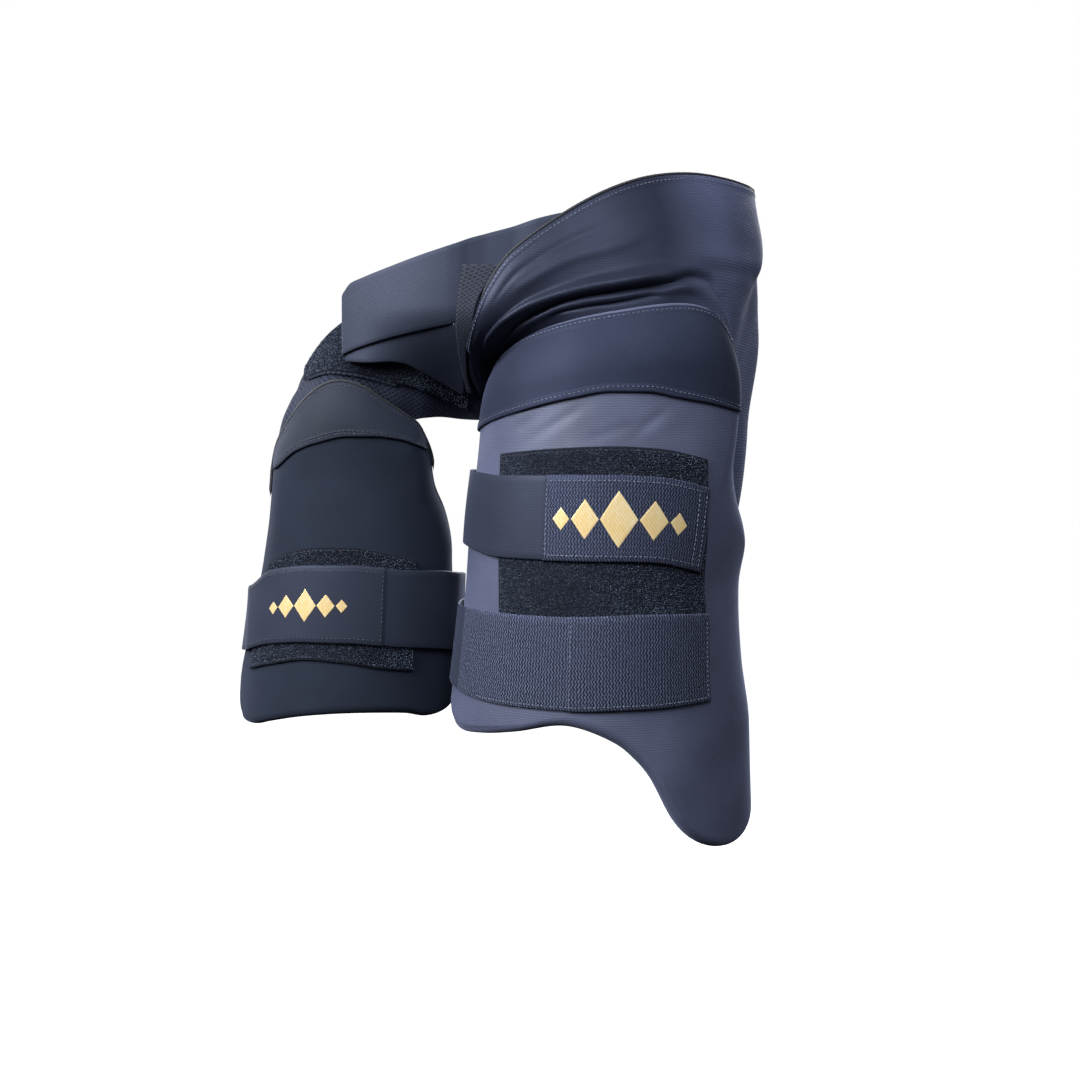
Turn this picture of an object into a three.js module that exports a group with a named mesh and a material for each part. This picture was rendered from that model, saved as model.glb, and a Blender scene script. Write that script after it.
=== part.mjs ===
// Cricket thigh guard: a large outer thigh pad and a small inner thigh pad on one waist yoke,
// in the form it has when worn. Millimetres, +Z up, the front faces -Y, +X is the wearer's left.
// The origin is the centre of the waist opening.
import * as THREE from "three";

// Body form inside the guard, as half-widths and depths of its ellipses
const waistHalfWidth = 190;
const waistDepth = 112;
const waistHeight = 135;
const crotchRecess = 60;
const outerThighHalfWidth = 100;
const outerThighDepth = 92;
const outerThighX = 60;
const outerThighY = -40;
const innerThighHalfWidth = 80;
const innerThighDepth = 76;
const innerThighY = 8;
const innerThighSplay = 10;
const legGap = 14;

// Pads
const outerPadTop = -20;
const outerPadHeight = 405;
const outerPadThickness = 18;
const innerPadTop = -70;
const innerPadHeight = 274;
const innerPadThickness = 16;
const edgeRunPerRise = 3.3;

// Cloth and elastic
const panelThickness = 1.2;
const skinThickness = 1.1;
const loopThickness = 1.5;
const meshThickness = 1.2;
const strapThickness = 1.5;
const outerStrapWidth = 60;
const innerStrapWidth = 58;
const strapStandOff = 9;
const bindingRadius = 1.3;
const tuckDepth = 6;
const seamGap = 0.8;
const sewnGap = 1;

const innerThighX = outerThighX - outerThighHalfWidth - legGap - innerThighHalfWidth - strapStandOff;

const degree = Math.PI / 180;
const mix = (a, b, share) => a + (b - a) * share;
const clamp01 = (value) => Math.min(1, Math.max(0, value));
const easeInOut = (value) => clamp01(value) ** 2 * (3 - 2 * clamp01(value));

// A smooth line through points whose x rises, which never overshoots them
function smoothLine(xs, ys) {
  const slopes = xs.slice(1).map((x, i) => (ys[i + 1] - ys[i]) / (x - xs[i]));
  const tangents = xs.map((_, i) => {
    if (i === 0) return slopes[0];
    if (i === xs.length - 1) return slopes[i - 1];
    const [before, after] = [slopes[i - 1], slopes[i]];
    return before * after > 0 ? (2 * before * after) / (before + after) : 0;
  });
  return (x) => {
    if (x <= xs[0]) return ys[0];
    if (x >= xs[xs.length - 1]) return ys[ys.length - 1];
    const i = xs.findIndex((edge) => edge > x) - 1;
    const span = xs[i + 1] - xs[i];
    const s = (x - xs[i]) / span;
    const rise = s * s * (3 - 2 * s);
    return mix(ys[i], ys[i + 1], rise) + span * s * (1 - s) * ((1 - s) * tangents[i] - s * tangents[i + 1]);
  };
}

// A table with named columns: each column becomes a smooth line over the first one
function table(names, rows) {
  const lines = { first: rows[0][0], last: rows[rows.length - 1][0] };
  names.split(" ").slice(1).forEach((name, i) => {
    lines[name] = smoothLine(rows.map((row) => row[0]), rows.map((row) => row[i + 1]));
  });
  return lines;
}

// A point on an ellipse round an upright axis: angle 0 is the front and grows towards +X
function ellipsePoint(centreX, centreY, halfWidth, depth, angle, z) {
  const x = centreX + halfWidth * Math.sin(angle * degree);
  return new THREE.Vector3(x, centreY - depth * Math.cos(angle * degree), z);
}

// Outer thigh: rows down the pad, half-widths as shares of outerThighHalfWidth
const outerThighShape = table("drop inward outward", [
  [0.00, 0.80, 1.18],
  [0.21, 0.82, 1.13],
  [0.39, 0.90, 1.02],
  [0.52, 0.94, 0.91],
  [0.66, 1.01, 0.94],
  [0.79, 1.07, 1.01],
  [1.00, 1.07, 1.04],
]);
const thighBackShare = 0.96;
const outerZ = (drop) => outerPadTop - drop * outerPadHeight;
function outerThigh(angle, z, lift) {
  const drop = (outerPadTop - z) / outerPadHeight;
  const side = Math.sin(angle * degree) < 0 ? outerThighShape.inward(drop) : outerThighShape.outward(drop);
  const ahead = Math.cos(angle * degree) > 0 ? 1 : thighBackShare;
  const halfWidth = side * outerThighHalfWidth + lift;
  return ellipsePoint(outerThighX, outerThighY, halfWidth, ahead * outerThighDepth + lift, angle, z);
}

// Inner thigh: sideways drift as a share of innerThighSplay, front depth of innerThighDepth
const innerThighShape = table("drop splay front", [
  [0.00, 0.3, 1.12],
  [0.15, 0.3, 1.05],
  [0.29, 0.2, 1.00],
  [0.47, 0.1, 1.00],
  [0.84, -0.4, 1.00],
  [1.00, -0.7, 1.00],
]);
const innerZ = (drop) => innerPadTop - drop * innerPadHeight;
function innerThigh(angle, z, lift) {
  const drop = (innerPadTop - z) / innerPadHeight;
  const centreX = innerThighX + innerThighShape.splay(drop) * innerThighSplay;
  const ahead = Math.cos(angle * degree) > 0 ? innerThighShape.front(drop) * innerThighDepth : innerThighHalfWidth;
  return ellipsePoint(centreX, innerThighY, innerThighHalfWidth + lift, ahead + lift, angle, z);
}

// Waist: rows down from the waist's centre, the wearer's right side swells over the hip
const waistShape = table("drop side front", [
  [-0.44, 0.980, 1.000],
  [0.00, 0.990, 1.000],
  [0.51, 0.995, 0.990],
  [0.61, 1.030, 0.965],
  [0.74, 1.070, 0.875],
  [1.00, 1.105, 0.715],
]);
const waistZ = (drop) => -drop * waistHeight;
const waistSide = (z) => waistShape.side(-z / waistHeight) * waistHalfWidth;
function waist(angle, z, lift) {
  const side = Math.sin(angle * degree) < 0 ? waistSide(z) : waistHalfWidth;
  const ahead = Math.cos(angle * degree) > 0 ? waistShape.front(-z / waistHeight) * waistDepth : waistDepth;
  const point = ellipsePoint(0, 0, side + lift, ahead + lift, angle, z);
  if (Math.cos(angle * degree) > 0) {
    const across = point.x / waistHalfWidth;
    const sideways = easeInOut((across + 0.684) / 0.42) * (1 - easeInOut((across + 0.105) / 0.158));
    point.y += crotchRecess * sideways * easeInOut((-z / waistHeight - 0.15) / 0.59);
  }
  return point;
}

// Triangles of a solid, collected from grids of points
class Faces {
  constructor() {
    this.corners = [];
    this.triangles = [];
  }
  add(point) {
    this.corners.push(point.x, point.y, point.z);
    return this.corners.length / 3 - 1;
  }
  quad(a, b, c, d) {
    this.triangles.push(a, b, c, a, c, d);
  }
  geometry() {
    const geometry = new THREE.BufferGeometry();
    geometry.setAttribute("position", new THREE.Float32BufferAttribute(this.corners, 3));
    geometry.setIndex(this.triangles);
    geometry.computeVertexNormals();
    return geometry;
  }
}

// Outward direction of a grid of points at one of them
function gridNormal(grid, i, j) {
  const along = new THREE.Vector3().subVectors(
    grid[Math.min(i + 1, grid.length - 1)][j], grid[Math.max(i - 1, 0)][j]);
  const column = grid[i];
  const up = new THREE.Vector3().subVectors(
    column[Math.min(j + 1, column.length - 1)], column[Math.max(j - 1, 0)]);
  return along.cross(up).normalize();
}

// Cloth of one thickness: the grid is its inner face, or its middle where centred is true.
// Grid columns run towards +X on the front, and each column runs upwards.
function clothSolid(grid, thickness, centred = false) {
  const faces = new Faces();
  const shift = centred ? thickness / 2 : 0;
  const layer = (lift) => grid.map((column, i) => column.map((point, j) => {
    return faces.add(point.clone().addScaledVector(gridNormal(grid, i, j), lift));
  }));
  const inside = layer(-shift);
  const outside = layer(thickness - shift);
  const lastColumn = grid.length - 1;
  const lastRow = grid[0].length - 1;
  for (let i = 0; i < lastColumn; i += 1) {
    for (let j = 0; j < lastRow; j += 1) {
      faces.quad(outside[i][j], outside[i + 1][j], outside[i + 1][j + 1], outside[i][j + 1]);
      faces.quad(inside[i][j], inside[i][j + 1], inside[i + 1][j + 1], inside[i + 1][j]);
    }
    faces.quad(inside[i][0], inside[i + 1][0], outside[i + 1][0], outside[i][0]);
    faces.quad(outside[i][lastRow], outside[i + 1][lastRow], inside[i + 1][lastRow], inside[i][lastRow]);
  }
  for (let j = 0; j < lastRow; j += 1) {
    faces.quad(inside[0][j], outside[0][j], outside[0][j + 1], inside[0][j + 1]);
    faces.quad(outside[lastColumn][j], inside[lastColumn][j], inside[lastColumn][j + 1],
      outside[lastColumn][j + 1]);
  }
  return faces.geometry();
}

// A grid of points from a function of two shares, both from 0 to 1
function surfaceGrid(columns, rows, pointAt) {
  return Array.from({ length: columns + 1 }, (_, i) =>
    Array.from({ length: rows + 1 }, (__, j) => pointAt(i / columns, j / rows)));
}

// A padded shell on a body form. Its rim is a closed table of angle, drop and edge thickness;
// it is star-shaped about its centre, and bearings about that centre are degrees clockwise from up.
class Pad {
  constructor({ form, zAt, centreAngle, centreDrop, mmPerDegree, thickness, rim }) {
    this.form = form;
    this.thickness = thickness;
    this.mmPerDegree = mmPerDegree;
    this.centre = new THREE.Vector2(centreAngle * mmPerDegree, zAt(centreDrop));
    const points = rim.map(([angle, drop, edge]) =>
      new THREE.Vector3(angle * mmPerDegree, zAt(drop), edge * thickness));
    this.rimCurve = new THREE.CatmullRomCurve3(points, true, "centripetal");
    this.rimTable = this.rimCurve.getSpacedPoints(360).slice(1).map((point) => this.polar(point));
    this.rimTable.sort((a, b) => a.bearing - b.bearing);
  }
  polar(point) {
    const across = point.x - this.centre.x;
    const up = point.y - this.centre.y;
    return { bearing: Math.atan2(across, up) / degree, radius: Math.hypot(across, up), edge: point.z };
  }
  rimAt(bearing) {
    const rows = this.rimTable;
    const after = rows.findIndex((row) => row.bearing > bearing);
    const next = rows[after < 0 ? 0 : after];
    const last = rows[after <= 0 ? rows.length - 1 : after - 1];
    const span = (next.bearing - last.bearing + 360) % 360;
    const share = span > 0 ? ((bearing - last.bearing + 360) % 360) / span : 0;
    return { radius: mix(last.radius, next.radius, share), edge: mix(last.edge, next.edge, share) };
  }
  // Height of the front face over the body, a distance in from the rim
  frontHeight(inset, edge) {
    const roundOff = clamp01(inset / (edge / 2));
    const rise = this.thickness - edge;
    const slope = rise > 0 ? clamp01((inset - edge / 2) / (rise * edgeRunPerRise)) : 1;
    return (edge / 2) * (1 + Math.sqrt(1 - (1 - roundOff) ** 2)) + rise * (1 - (1 - slope) ** 2);
  }
  front(angle, z) {
    const here = this.polar(new THREE.Vector3(angle * this.mmPerDegree, z, 0));
    const rim = this.rimAt(here.bearing);
    return this.frontHeight(rim.radius - here.radius, rim.edge);
  }
  // Angle and height of a place by its bearing, a distance in from the rim
  place(bearing, inset) {
    const radius = this.rimAt(bearing).radius - inset;
    const across = this.centre.x + radius * Math.sin(bearing * degree);
    return { angle: across / this.mmPerDegree, z: this.centre.y + radius * Math.cos(bearing * degree) };
  }
  // Where a cloth of some thickness is sewn on: beside the rim half-way up its edge, or with
  // tuck and sink at 1 behind the pad, tuckDepth in from the rim
  seamPoint(bearing, thickness, tuck, sink) {
    const { angle, z } = this.place(bearing, 0);
    const [before, after] = [this.place(bearing - 1, 0), this.place(bearing + 1, 0)];
    const rimRun = (after.angle - before.angle) * this.mmPerDegree;
    const rimRise = after.z - before.z;
    const out = mix(seamGap, -tuckDepth, tuck) / Math.hypot(rimRun, rimRise);
    const beside = (this.rimAt(bearing).edge - thickness) / 2;
    const lift = mix(beside, -(thickness + sewnGap), sink);
    return this.form(angle - (rimRise * out) / this.mmPerDegree, z + rimRun * out, lift);
  }
  // A point on top of the pad's front face, for a skin that lies on it
  onFront(angle, z) {
    return this.form(angle, z, this.front(angle, z) + seamGap);
  }
  solid(rays, innerRings) {
    const faces = new Faces();
    const spokes = this.rimCurve.getSpacedPoints(rays).slice(1).map((point) => this.polar(point));
    const ring = (insetOf, heightOf) => spokes.map((spoke) => {
      const inset = insetOf(spoke);
      const reach = (spoke.radius - inset) / spoke.radius;
      const across = this.centre.x + spoke.radius * reach * Math.sin(spoke.bearing * degree);
      const z = this.centre.y + spoke.radius * reach * Math.cos(spoke.bearing * degree);
      return faces.add(this.form(across / this.mmPerDegree, z, heightOf(inset, spoke.edge)));
    });
    const frontHeight = (inset, edge) => this.frontHeight(inset, edge);
    const backHeight = (inset, edge) => {
      const roundOff = clamp01(inset / (edge / 2));
      return (edge / 2) * (1 - Math.sqrt(1 - (1 - roundOff) ** 2));
    };
    const insets = [(spoke) => 0.3 * (spoke.edge / 2)];
    for (let step = 0; step < innerRings; step += 1) {
      insets.push((spoke) => mix(spoke.edge / 2, spoke.radius, step / innerRings));
    }
    const backRings = insets.map((insetOf) => ring(insetOf, backHeight)).reverse();
    const frontRings = insets.map((insetOf) => ring(insetOf, frontHeight));
    const rings = [...backRings, ring(() => 0, frontHeight), ...frontRings];
    const centreAngle = this.centre.x / this.mmPerDegree;
    const backCentre = faces.add(this.form(centreAngle, this.centre.y, 0));
    const frontCentre = faces.add(this.form(centreAngle, this.centre.y, this.thickness));
    const count = spokes.length;
    for (let k = 0; k < count; k += 1) {
      const next = (k + 1) % count;
      for (let r = 0; r < rings.length - 1; r += 1) {
        faces.quad(rings[r][k], rings[r + 1][k], rings[r + 1][next], rings[r][next]);
      }
      faces.triangles.push(backCentre, rings[0][k], rings[0][next]);
      faces.triangles.push(frontCentre, rings[rings.length - 1][next], rings[rings.length - 1][k]);
    }
    return faces.geometry();
  }
}

// Outer pad, clockwise from the top of its left edge: angle, share of its height, edge thickness
const outerPad = new Pad({
  form: outerThigh,
  zAt: outerZ,
  centreAngle: 15,
  centreDrop: 0.444,
  mmPerDegree: 1.9,
  thickness: outerPadThickness,
  rim: [
    [-84, 0.156, 0.46],
    [-77.7, 0.104, 0.32],
    [-55.5, 0.067, 0.30],
    [-39.5, 0.047, 0.28],
    [-18.5, 0.030, 0.28],
    [1, 0.017, 0.28],
    [15, 0.005, 0.28],
    [25, 0.000, 0.28],
    [33, 0.002, 0.28],
    [41, 0.015, 0.28],
    [47, 0.044, 0.28],
    [52, 0.081, 0.28],
    [54.6, 0.121, 0.28],
    [56, 0.180, 0.28],
    [58, 0.282, 0.30],
    [64, 0.334, 0.34],
    [76, 0.390, 0.42],
    [90, 0.457, 0.55],
    [96, 0.544, 0.65],
    [97, 0.692, 0.75],
    [96, 0.815, 0.85],
    [92, 0.902, 0.95],
    [84, 0.959, 1.00],
    [72, 0.988, 1.00],
    [57, 1.000, 1.00],
    [43, 0.990, 1.00],
    [33, 0.966, 1.00],
    [26, 0.931, 1.00],
    [21, 0.889, 1.00],
    [16, 0.847, 1.00],
    [10, 0.812, 1.00],
    [2, 0.780, 1.00],
    [-15, 0.751, 1.00],
    [-35, 0.770, 1.00],
    [-52, 0.785, 0.95],
    [-70, 0.792, 0.88],
    [-82, 0.770, 0.80],
    [-86, 0.692, 0.70],
    [-86, 0.444, 0.65],
    [-86, 0.215, 0.58],
  ],
});

// Inner pad, clockwise from the top of its arch
const innerPad = new Pad({
  form: innerThigh,
  zAt: innerZ,
  centreAngle: 3,
  centreDrop: 0.51,
  mmPerDegree: 1.6,
  thickness: innerPadThickness,
  rim: [
    [0, 0.002, 0.30],
    [10, 0.018, 0.30],
    [21, 0.055, 0.30],
    [33, 0.095, 0.32],
    [39.5, 0.117, 0.34],
    [43, 0.145, 0.36],
    [48, 0.200, 0.40],
    [52, 0.292, 0.45],
    [60, 0.365, 0.50],
    [67, 0.456, 0.50],
    [69, 0.547, 0.50],
    [76, 0.784, 0.55],
    [78, 0.905, 0.65],
    [74, 0.948, 0.80],
    [64, 0.970, 0.95],
    [49, 0.975, 1.00],
    [35, 0.956, 1.00],
    [7, 0.945, 1.00],
    [-17, 0.956, 1.00],
    [-39, 0.983, 1.00],
    [-51, 1.000, 1.00],
    [-68, 1.000, 0.90],
    [-82, 0.965, 0.70],
    [-74, 0.854, 0.55],
    [-63, 0.697, 0.50],
    [-54, 0.511, 0.50],
    [-48.6, 0.394, 0.48],
    [-46, 0.292, 0.45],
    [-45, 0.240, 0.42],
    [-41, 0.172, 0.36],
    [-29.5, 0.099, 0.32],
    [-19, 0.044, 0.30],
    [-8.5, 0.009, 0.30],
  ],
});

// A skin on a pad between a lower line and the pad's arch, inset from the rim
const skinInset = 3.2;
function archSkin(pad, zAt, lowerRows, bearings, columns, rows) {
  const lower = table("share angle drop", lowerRows);
  return clothSolid(surfaceGrid(columns, rows, (across, up) => {
    const top = pad.place(mix(bearings[0], bearings[1], across), skinInset);
    const angle = mix(lower.angle(across), top.angle, up);
    return pad.onFront(angle, mix(zAt(lower.drop(across)), top.z, up));
  }), skinThickness);
}

// A loop patch on a pad, as the angles and drops of its top and bottom edges
function loopPatch(pad, zAt, edgeRows, columns, rows) {
  const edges = table("share topAngle topDrop lowAngle lowDrop", edgeRows);
  return clothSolid(surfaceGrid(columns, rows, (across, up) => {
    const angle = mix(edges.lowAngle(across), edges.topAngle(across), up);
    const z = mix(zAt(edges.lowDrop(across)), zAt(edges.topDrop(across)), up);
    return pad.onFront(angle, z);
  }), loopThickness);
}

// A strap round a thigh. over and lowOver are shares of the height over the loop patch, for its
// top and bottom edges; inside is how far it lies against the inner face of the pad.
function thighStrap({ form, zAt, width, padThickness, rows }, columns, acrossSteps) {
  const route = table("angle drop width over lowOver inside", rows);
  const overPatch = padThickness + loopThickness + 2 * seamGap;
  const underPad = -(strapThickness + sewnGap);
  return clothSolid(surfaceGrid(columns, acrossSteps, (along, up) => {
    const angle = mix(route.first, route.last, along);
    const over = mix(route.lowOver(angle), route.over(angle), up);
    const z = zAt(route.drop(angle)) + (up - 0.5) * route.width(angle) * width;
    return form(angle, z, over * overPatch + route.inside(angle) * underPad);
  }), strapThickness);
}

const outerStrap = { form: outerThigh, zAt: outerZ, width: outerStrapWidth, padThickness: outerPadThickness };
const outerUpperRoute = [
  [-310, 0.372, 0.92, 0.00, 0.00, 1],
  [-248, 0.376, 0.92, 0.00, 0.00, 1],
  [-225, 0.378, 0.92, 0.03, 0.03, 0],
  [-140, 0.374, 0.92, 0.06, 0.06, 0],
  [-104, 0.366, 0.92, 0.12, 0.12, 0],
  [-97, 0.364, 0.92, 0.26, 0.26, 0],
  [-91, 0.363, 0.92, 0.56, 0.56, 0],
  [-84, 0.362, 0.92, 0.82, 0.82, 0],
  [-76, 0.365, 0.93, 0.95, 0.95, 0],
  [-60, 0.372, 0.95, 0.96, 0.96, 0],
  [-46, 0.378, 0.97, 1.00, 1.00, 0],
  [0, 0.379, 0.98, 1.00, 1.00, 0],
  [15, 0.382, 0.97, 1.00, 1.00, 0],
  [34.5, 0.402, 0.97, 1.00, 1.00, 0],
];
const outerLowerRoute = [
  [-282, 0.632, 0.98, 0.00, 0.00, 1],
  [-262, 0.632, 0.98, 0.00, 0.00, 1],
  [-240, 0.632, 0.98, 0.03, 0.03, 0],
  [-140, 0.628, 0.98, 0.06, 0.06, 0],
  [-104, 0.625, 0.98, 0.12, 0.12, 0],
  [-97, 0.624, 0.98, 0.26, 0.26, 0],
  [-91, 0.623, 0.98, 0.56, 0.56, 0],
  [-84, 0.624, 0.98, 0.80, 0.80, 0],
  [-76, 0.628, 1.00, 0.95, 0.92, 0],
  [-60, 0.634, 1.06, 0.98, 0.90, 0],
  [-40, 0.635, 1.10, 1.00, 0.90, 0],
  [-14, 0.635, 1.10, 1.00, 0.90, 0],
  [9, 0.631, 1.10, 1.00, 0.90, 0],
  [40.5, 0.632, 1.04, 1.00, 0.90, 0],
];
const innerStrapRoute = [
  [-63, 0.692, 0.86, 0.54, 0.81, 0],
  [-60, 0.690, 0.86, 0.65, 0.87, 0],
  [-55, 0.686, 0.85, 0.84, 0.90, 0],
  [-49, 0.678, 0.85, 0.99, 1.00, 0],
  [-34, 0.642, 0.96, 1.00, 1.00, 0],
  [-13, 0.627, 0.99, 1.00, 1.00, 0],
  [4, 0.628, 1.00, 1.00, 1.00, 0],
  [28, 0.645, 1.01, 1.00, 1.00, 0],
  [50, 0.658, 1.05, 1.00, 1.00, 0],
  [60, 0.668, 1.06, 0.96, 0.96, 0],
  [68, 0.674, 1.06, 0.80, 0.80, 0],
  [76, 0.680, 1.06, 0.62, 0.62, 0],
  [90, 0.685, 1.06, 0.44, 0.44, 0],
  [110, 0.692, 1.06, 0.22, 0.22, 0],
  [140, 0.700, 1.04, 0.12, 0.12, 0],
  [250, 0.705, 0.98, 0.06, 0.06, 0],
  [284, 0.705, 0.94, 0.00, 0.00, 0.6],
  [294, 0.705, 0.92, 0.00, 0.00, 1],
  [312, 0.705, 0.90, 0.00, 0.00, 1],
];

// Hip panel, from its lower left corner over the top to its rear corner: bearing on the outer
// pad's rim, tuck and sink of its seam there, angle and drop of its free edge on the waist, how
// far that edge has gone over to the thigh's form, its lift as a share, and the cloth's bulge
const hipEdgeLift = 11;
const hipRows = [
  [-57.0, -0.3, 0, -11.4, 0.600, 0.00, 0.55, 5],
  [-53.8, -0.25, 0, -12.6, 0.501, 0.00, 1.00, 8],
  [-50.3, -0.2, 0, -12.9, 0.387, 0.00, 1.00, 10],
  [-46.1, -0.15, 0, -12.3, 0.315, 0.00, 1.00, 9],
  [-41.2, -0.15, 0, -11.0, 0.218, 0.00, 1.00, 9],
  [-35.6, -0.1, 0, -8.6, 0.073, 0.00, 1.00, 10],
  [-30.9, 0, 0.5, -4.2, -0.099, 0.00, 1.00, 9],
  [-25.2, 0, 1, 0.3, -0.198, 0.00, 1.00, 7],
  [-16.8, 0.5, 1, 6.9, -0.314, 0.00, 1.00, 5],
  [-7.5, 1, 1, 13.8, -0.419, 0.00, 0.90, 4],
  [0, 1, 1, 20.7, -0.500, 0.00, 0.70, 4],
  [6, 1, 1, 28.4, -0.561, 0.00, 0.45, 5],
  [10.8, 1, 1, 39.9, -0.606, 0.00, 0.15, 7],
  [15.9, 1, 1, 55.5, -0.620, 0.00, -0.10, 8],
  [20.6, 1, 1, 75, -0.635, 0.00, -0.30, 9],
  [25.6, 1, 1, 90, -0.645, 0.00, -0.45, 9],
  [31.3, 1, 1, 104, -0.637, 0.00, -0.35, 10],
  [36.1, 1, 1, 106, -0.370, 0.00, -0.20, 12],
  [43.2, 0, 1, 107, -0.074, 0.15, 0.00, 12],
  [51, 0, 0.5, 107, 0.296, 0.35, 0.05, 11],
  [64.2, 0, 0, 108, 0.667, 0.60, 0.10, 9],
  [79.2, -0.15, 0, 110, 1.037, 0.85, 0.15, 6],
  [92, -0.15, 0, 112, 1.400, 1.00, 0.20, 2],
];
const rearTopRow = 16;
const binderStartRow = 4.6;

// Folds of the hip panel: where each runs between the pad's arch at 0 and the free edge at 1
const hipFolds = [
  { from: 1.5, to: 12.5, start: 0.52, end: 0.26, height: 5, halfWidth: 0.11 },
  { from: 5.5, to: 13, start: 0.20, end: 0.12, height: -4, halfWidth: 0.06 },
  { from: 9.5, to: 14.5, start: 0.10, end: 0.22, height: 3, halfWidth: 0.05 },
  { from: 11.5, to: 16, start: 0.34, end: 0.38, height: -3, halfWidth: 0.06 },
];

function curveThrough(points) {
  return new THREE.CatmullRomCurve3(points, false, "centripetal");
}

const hipSeam = curveThrough(hipRows.map(([bearing, tuck, sink]) => {
  return outerPad.seamPoint(bearing, panelThickness, tuck, sink);
}));
// The free edge stops short by the width of the binding that finishes it
const hipEdge = curveThrough(hipRows.map(([bearing, tuck, sink, angle, drop, thighShare, liftShare]) => {
  const lift = liftShare * hipEdgeLift;
  const edge = waist(angle, waistZ(drop), lift).lerp(outerThigh(angle, waistZ(drop), lift), thighShare);
  const inwards = outerPad.seamPoint(bearing, panelThickness, tuck, sink).sub(edge).normalize();
  return edge.addScaledVector(inwards, bindingRadius * 2);
}));
const hipBulge = smoothLine(hipRows.map((_, row) => row), hipRows.map((row) => row[7]));

function foldHeight(row, out) {
  return hipFolds.reduce((sum, fold) => {
    const share = (row - fold.from) / (fold.to - fold.from);
    if (share <= 0 || share >= 1) return sum;
    const distance = (out - mix(fold.start, fold.end, share)) / fold.halfWidth;
    return sum + fold.height * Math.sin(Math.PI * share) * Math.exp(-distance * distance);
  }, 0);
}

function hipPoint(along, out) {
  const row = along * (hipRows.length - 1);
  const point = hipSeam.getPoint(along).lerp(hipEdge.getPoint(along), out);
  const outward = new THREE.Vector3(point.x - outerThighX / 2, point.y - outerThighY / 2, 0).normalize();
  const raise = hipBulge(row) * 4 * out * (1 - out) + foldHeight(row, out);
  return point.addScaledVector(outward, raise);
}

function hipPanel() {
  return clothSolid(surfaceGrid(38, 10, hipPoint), panelThickness);
}

// The lining that shows beside the hip panel's hem
const liningEdges = table("drop angle hemAngle", [
  [-0.062, -13.2, -5.6],
  [0.122, -14.3, -10.4],
  [0.274, -14.8, -12.0],
  [0.371, -14.6, -13.3],
  [0.496, -14.0, -13.4],
  [0.583, -13.0, -12.3],
]);
const liningLift = 9.2;
const liningSinkPerDegree = 0.45;
function hipLining() {
  return clothSolid(surfaceGrid(4, 9, (across, up) => {
    const drop = mix(liningEdges.last, liningEdges.first, up);
    const inwards = across * (liningEdges.hemAngle(drop) - liningEdges.angle(drop));
    const lift = liningLift - liningSinkPerDegree * inwards;
    return waist(liningEdges.angle(drop) + inwards, waistZ(drop), lift);
  }), meshThickness);
}

// The rolled binding: a round cord beside the free edge of the hip panel
function hipBinding() {
  const faces = new Faces();
  const sides = 6;
  const steps = 34;
  const rings = Array.from({ length: steps + 1 }, (_, i) => {
    const row = mix(binderStartRow, rearTopRow, i / steps);
    const along = row / (hipRows.length - 1);
    const away = hipPoint(along, 1).sub(hipPoint(along, 0.9)).normalize();
    const forward = hipEdge.getTangent(along);
    const side = new THREE.Vector3().crossVectors(forward, away).normalize();
    const centre = hipPoint(along, 1).addScaledVector(away, bindingRadius + seamGap);
    centre.addScaledVector(side, panelThickness / 2);
    return Array.from({ length: sides }, (__, k) => {
      const turn = (k / sides) * 2 * Math.PI;
      const point = centre.clone().addScaledVector(away, bindingRadius * Math.cos(turn));
      return faces.add(point.addScaledVector(side, bindingRadius * Math.sin(turn)));
    });
  });
  for (let i = 0; i < steps; i += 1) {
    for (let k = 0; k < sides; k += 1) {
      const next = (k + 1) % sides;
      faces.quad(rings[i][k], rings[i][next], rings[i + 1][next], rings[i + 1][k]);
    }
  }
  for (let k = 1; k < sides - 1; k += 1) {
    faces.triangles.push(rings[0][0], rings[0][k + 1], rings[0][k]);
    faces.triangles.push(rings[steps][0], rings[steps][k], rings[steps][k + 1]);
  }
  return faces.geometry();
}

// Waist yoke, from the wearer's right side to the outer pad. Its lower edge follows the inner
// pad's arch: bearing, tuck and sink of the seam, then angle and drop of its upper edge.
const yokeSideRow = { angle: -84, lowDrop: 0.970, highDrop: 0.530 };
const yokeArchRows = [
  [-58, -0.15, 0, -74, 0.490],
  [-46, 0, 1, -68, 0.440],
  [-36, 1, 1, -58, 0.320],
  [-24, 1, 1, -50, 0.225],
  [-12, 1, 1, -45, 0.180],
  [-2, 0.7, 1, -41, 0.165],
  [8, 0.4, 1, -37, 0.165],
  [18, 0.2, 1, -32.5, 0.180],
  [26, 0.1, 1, -27.5, 0.215],
];
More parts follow.
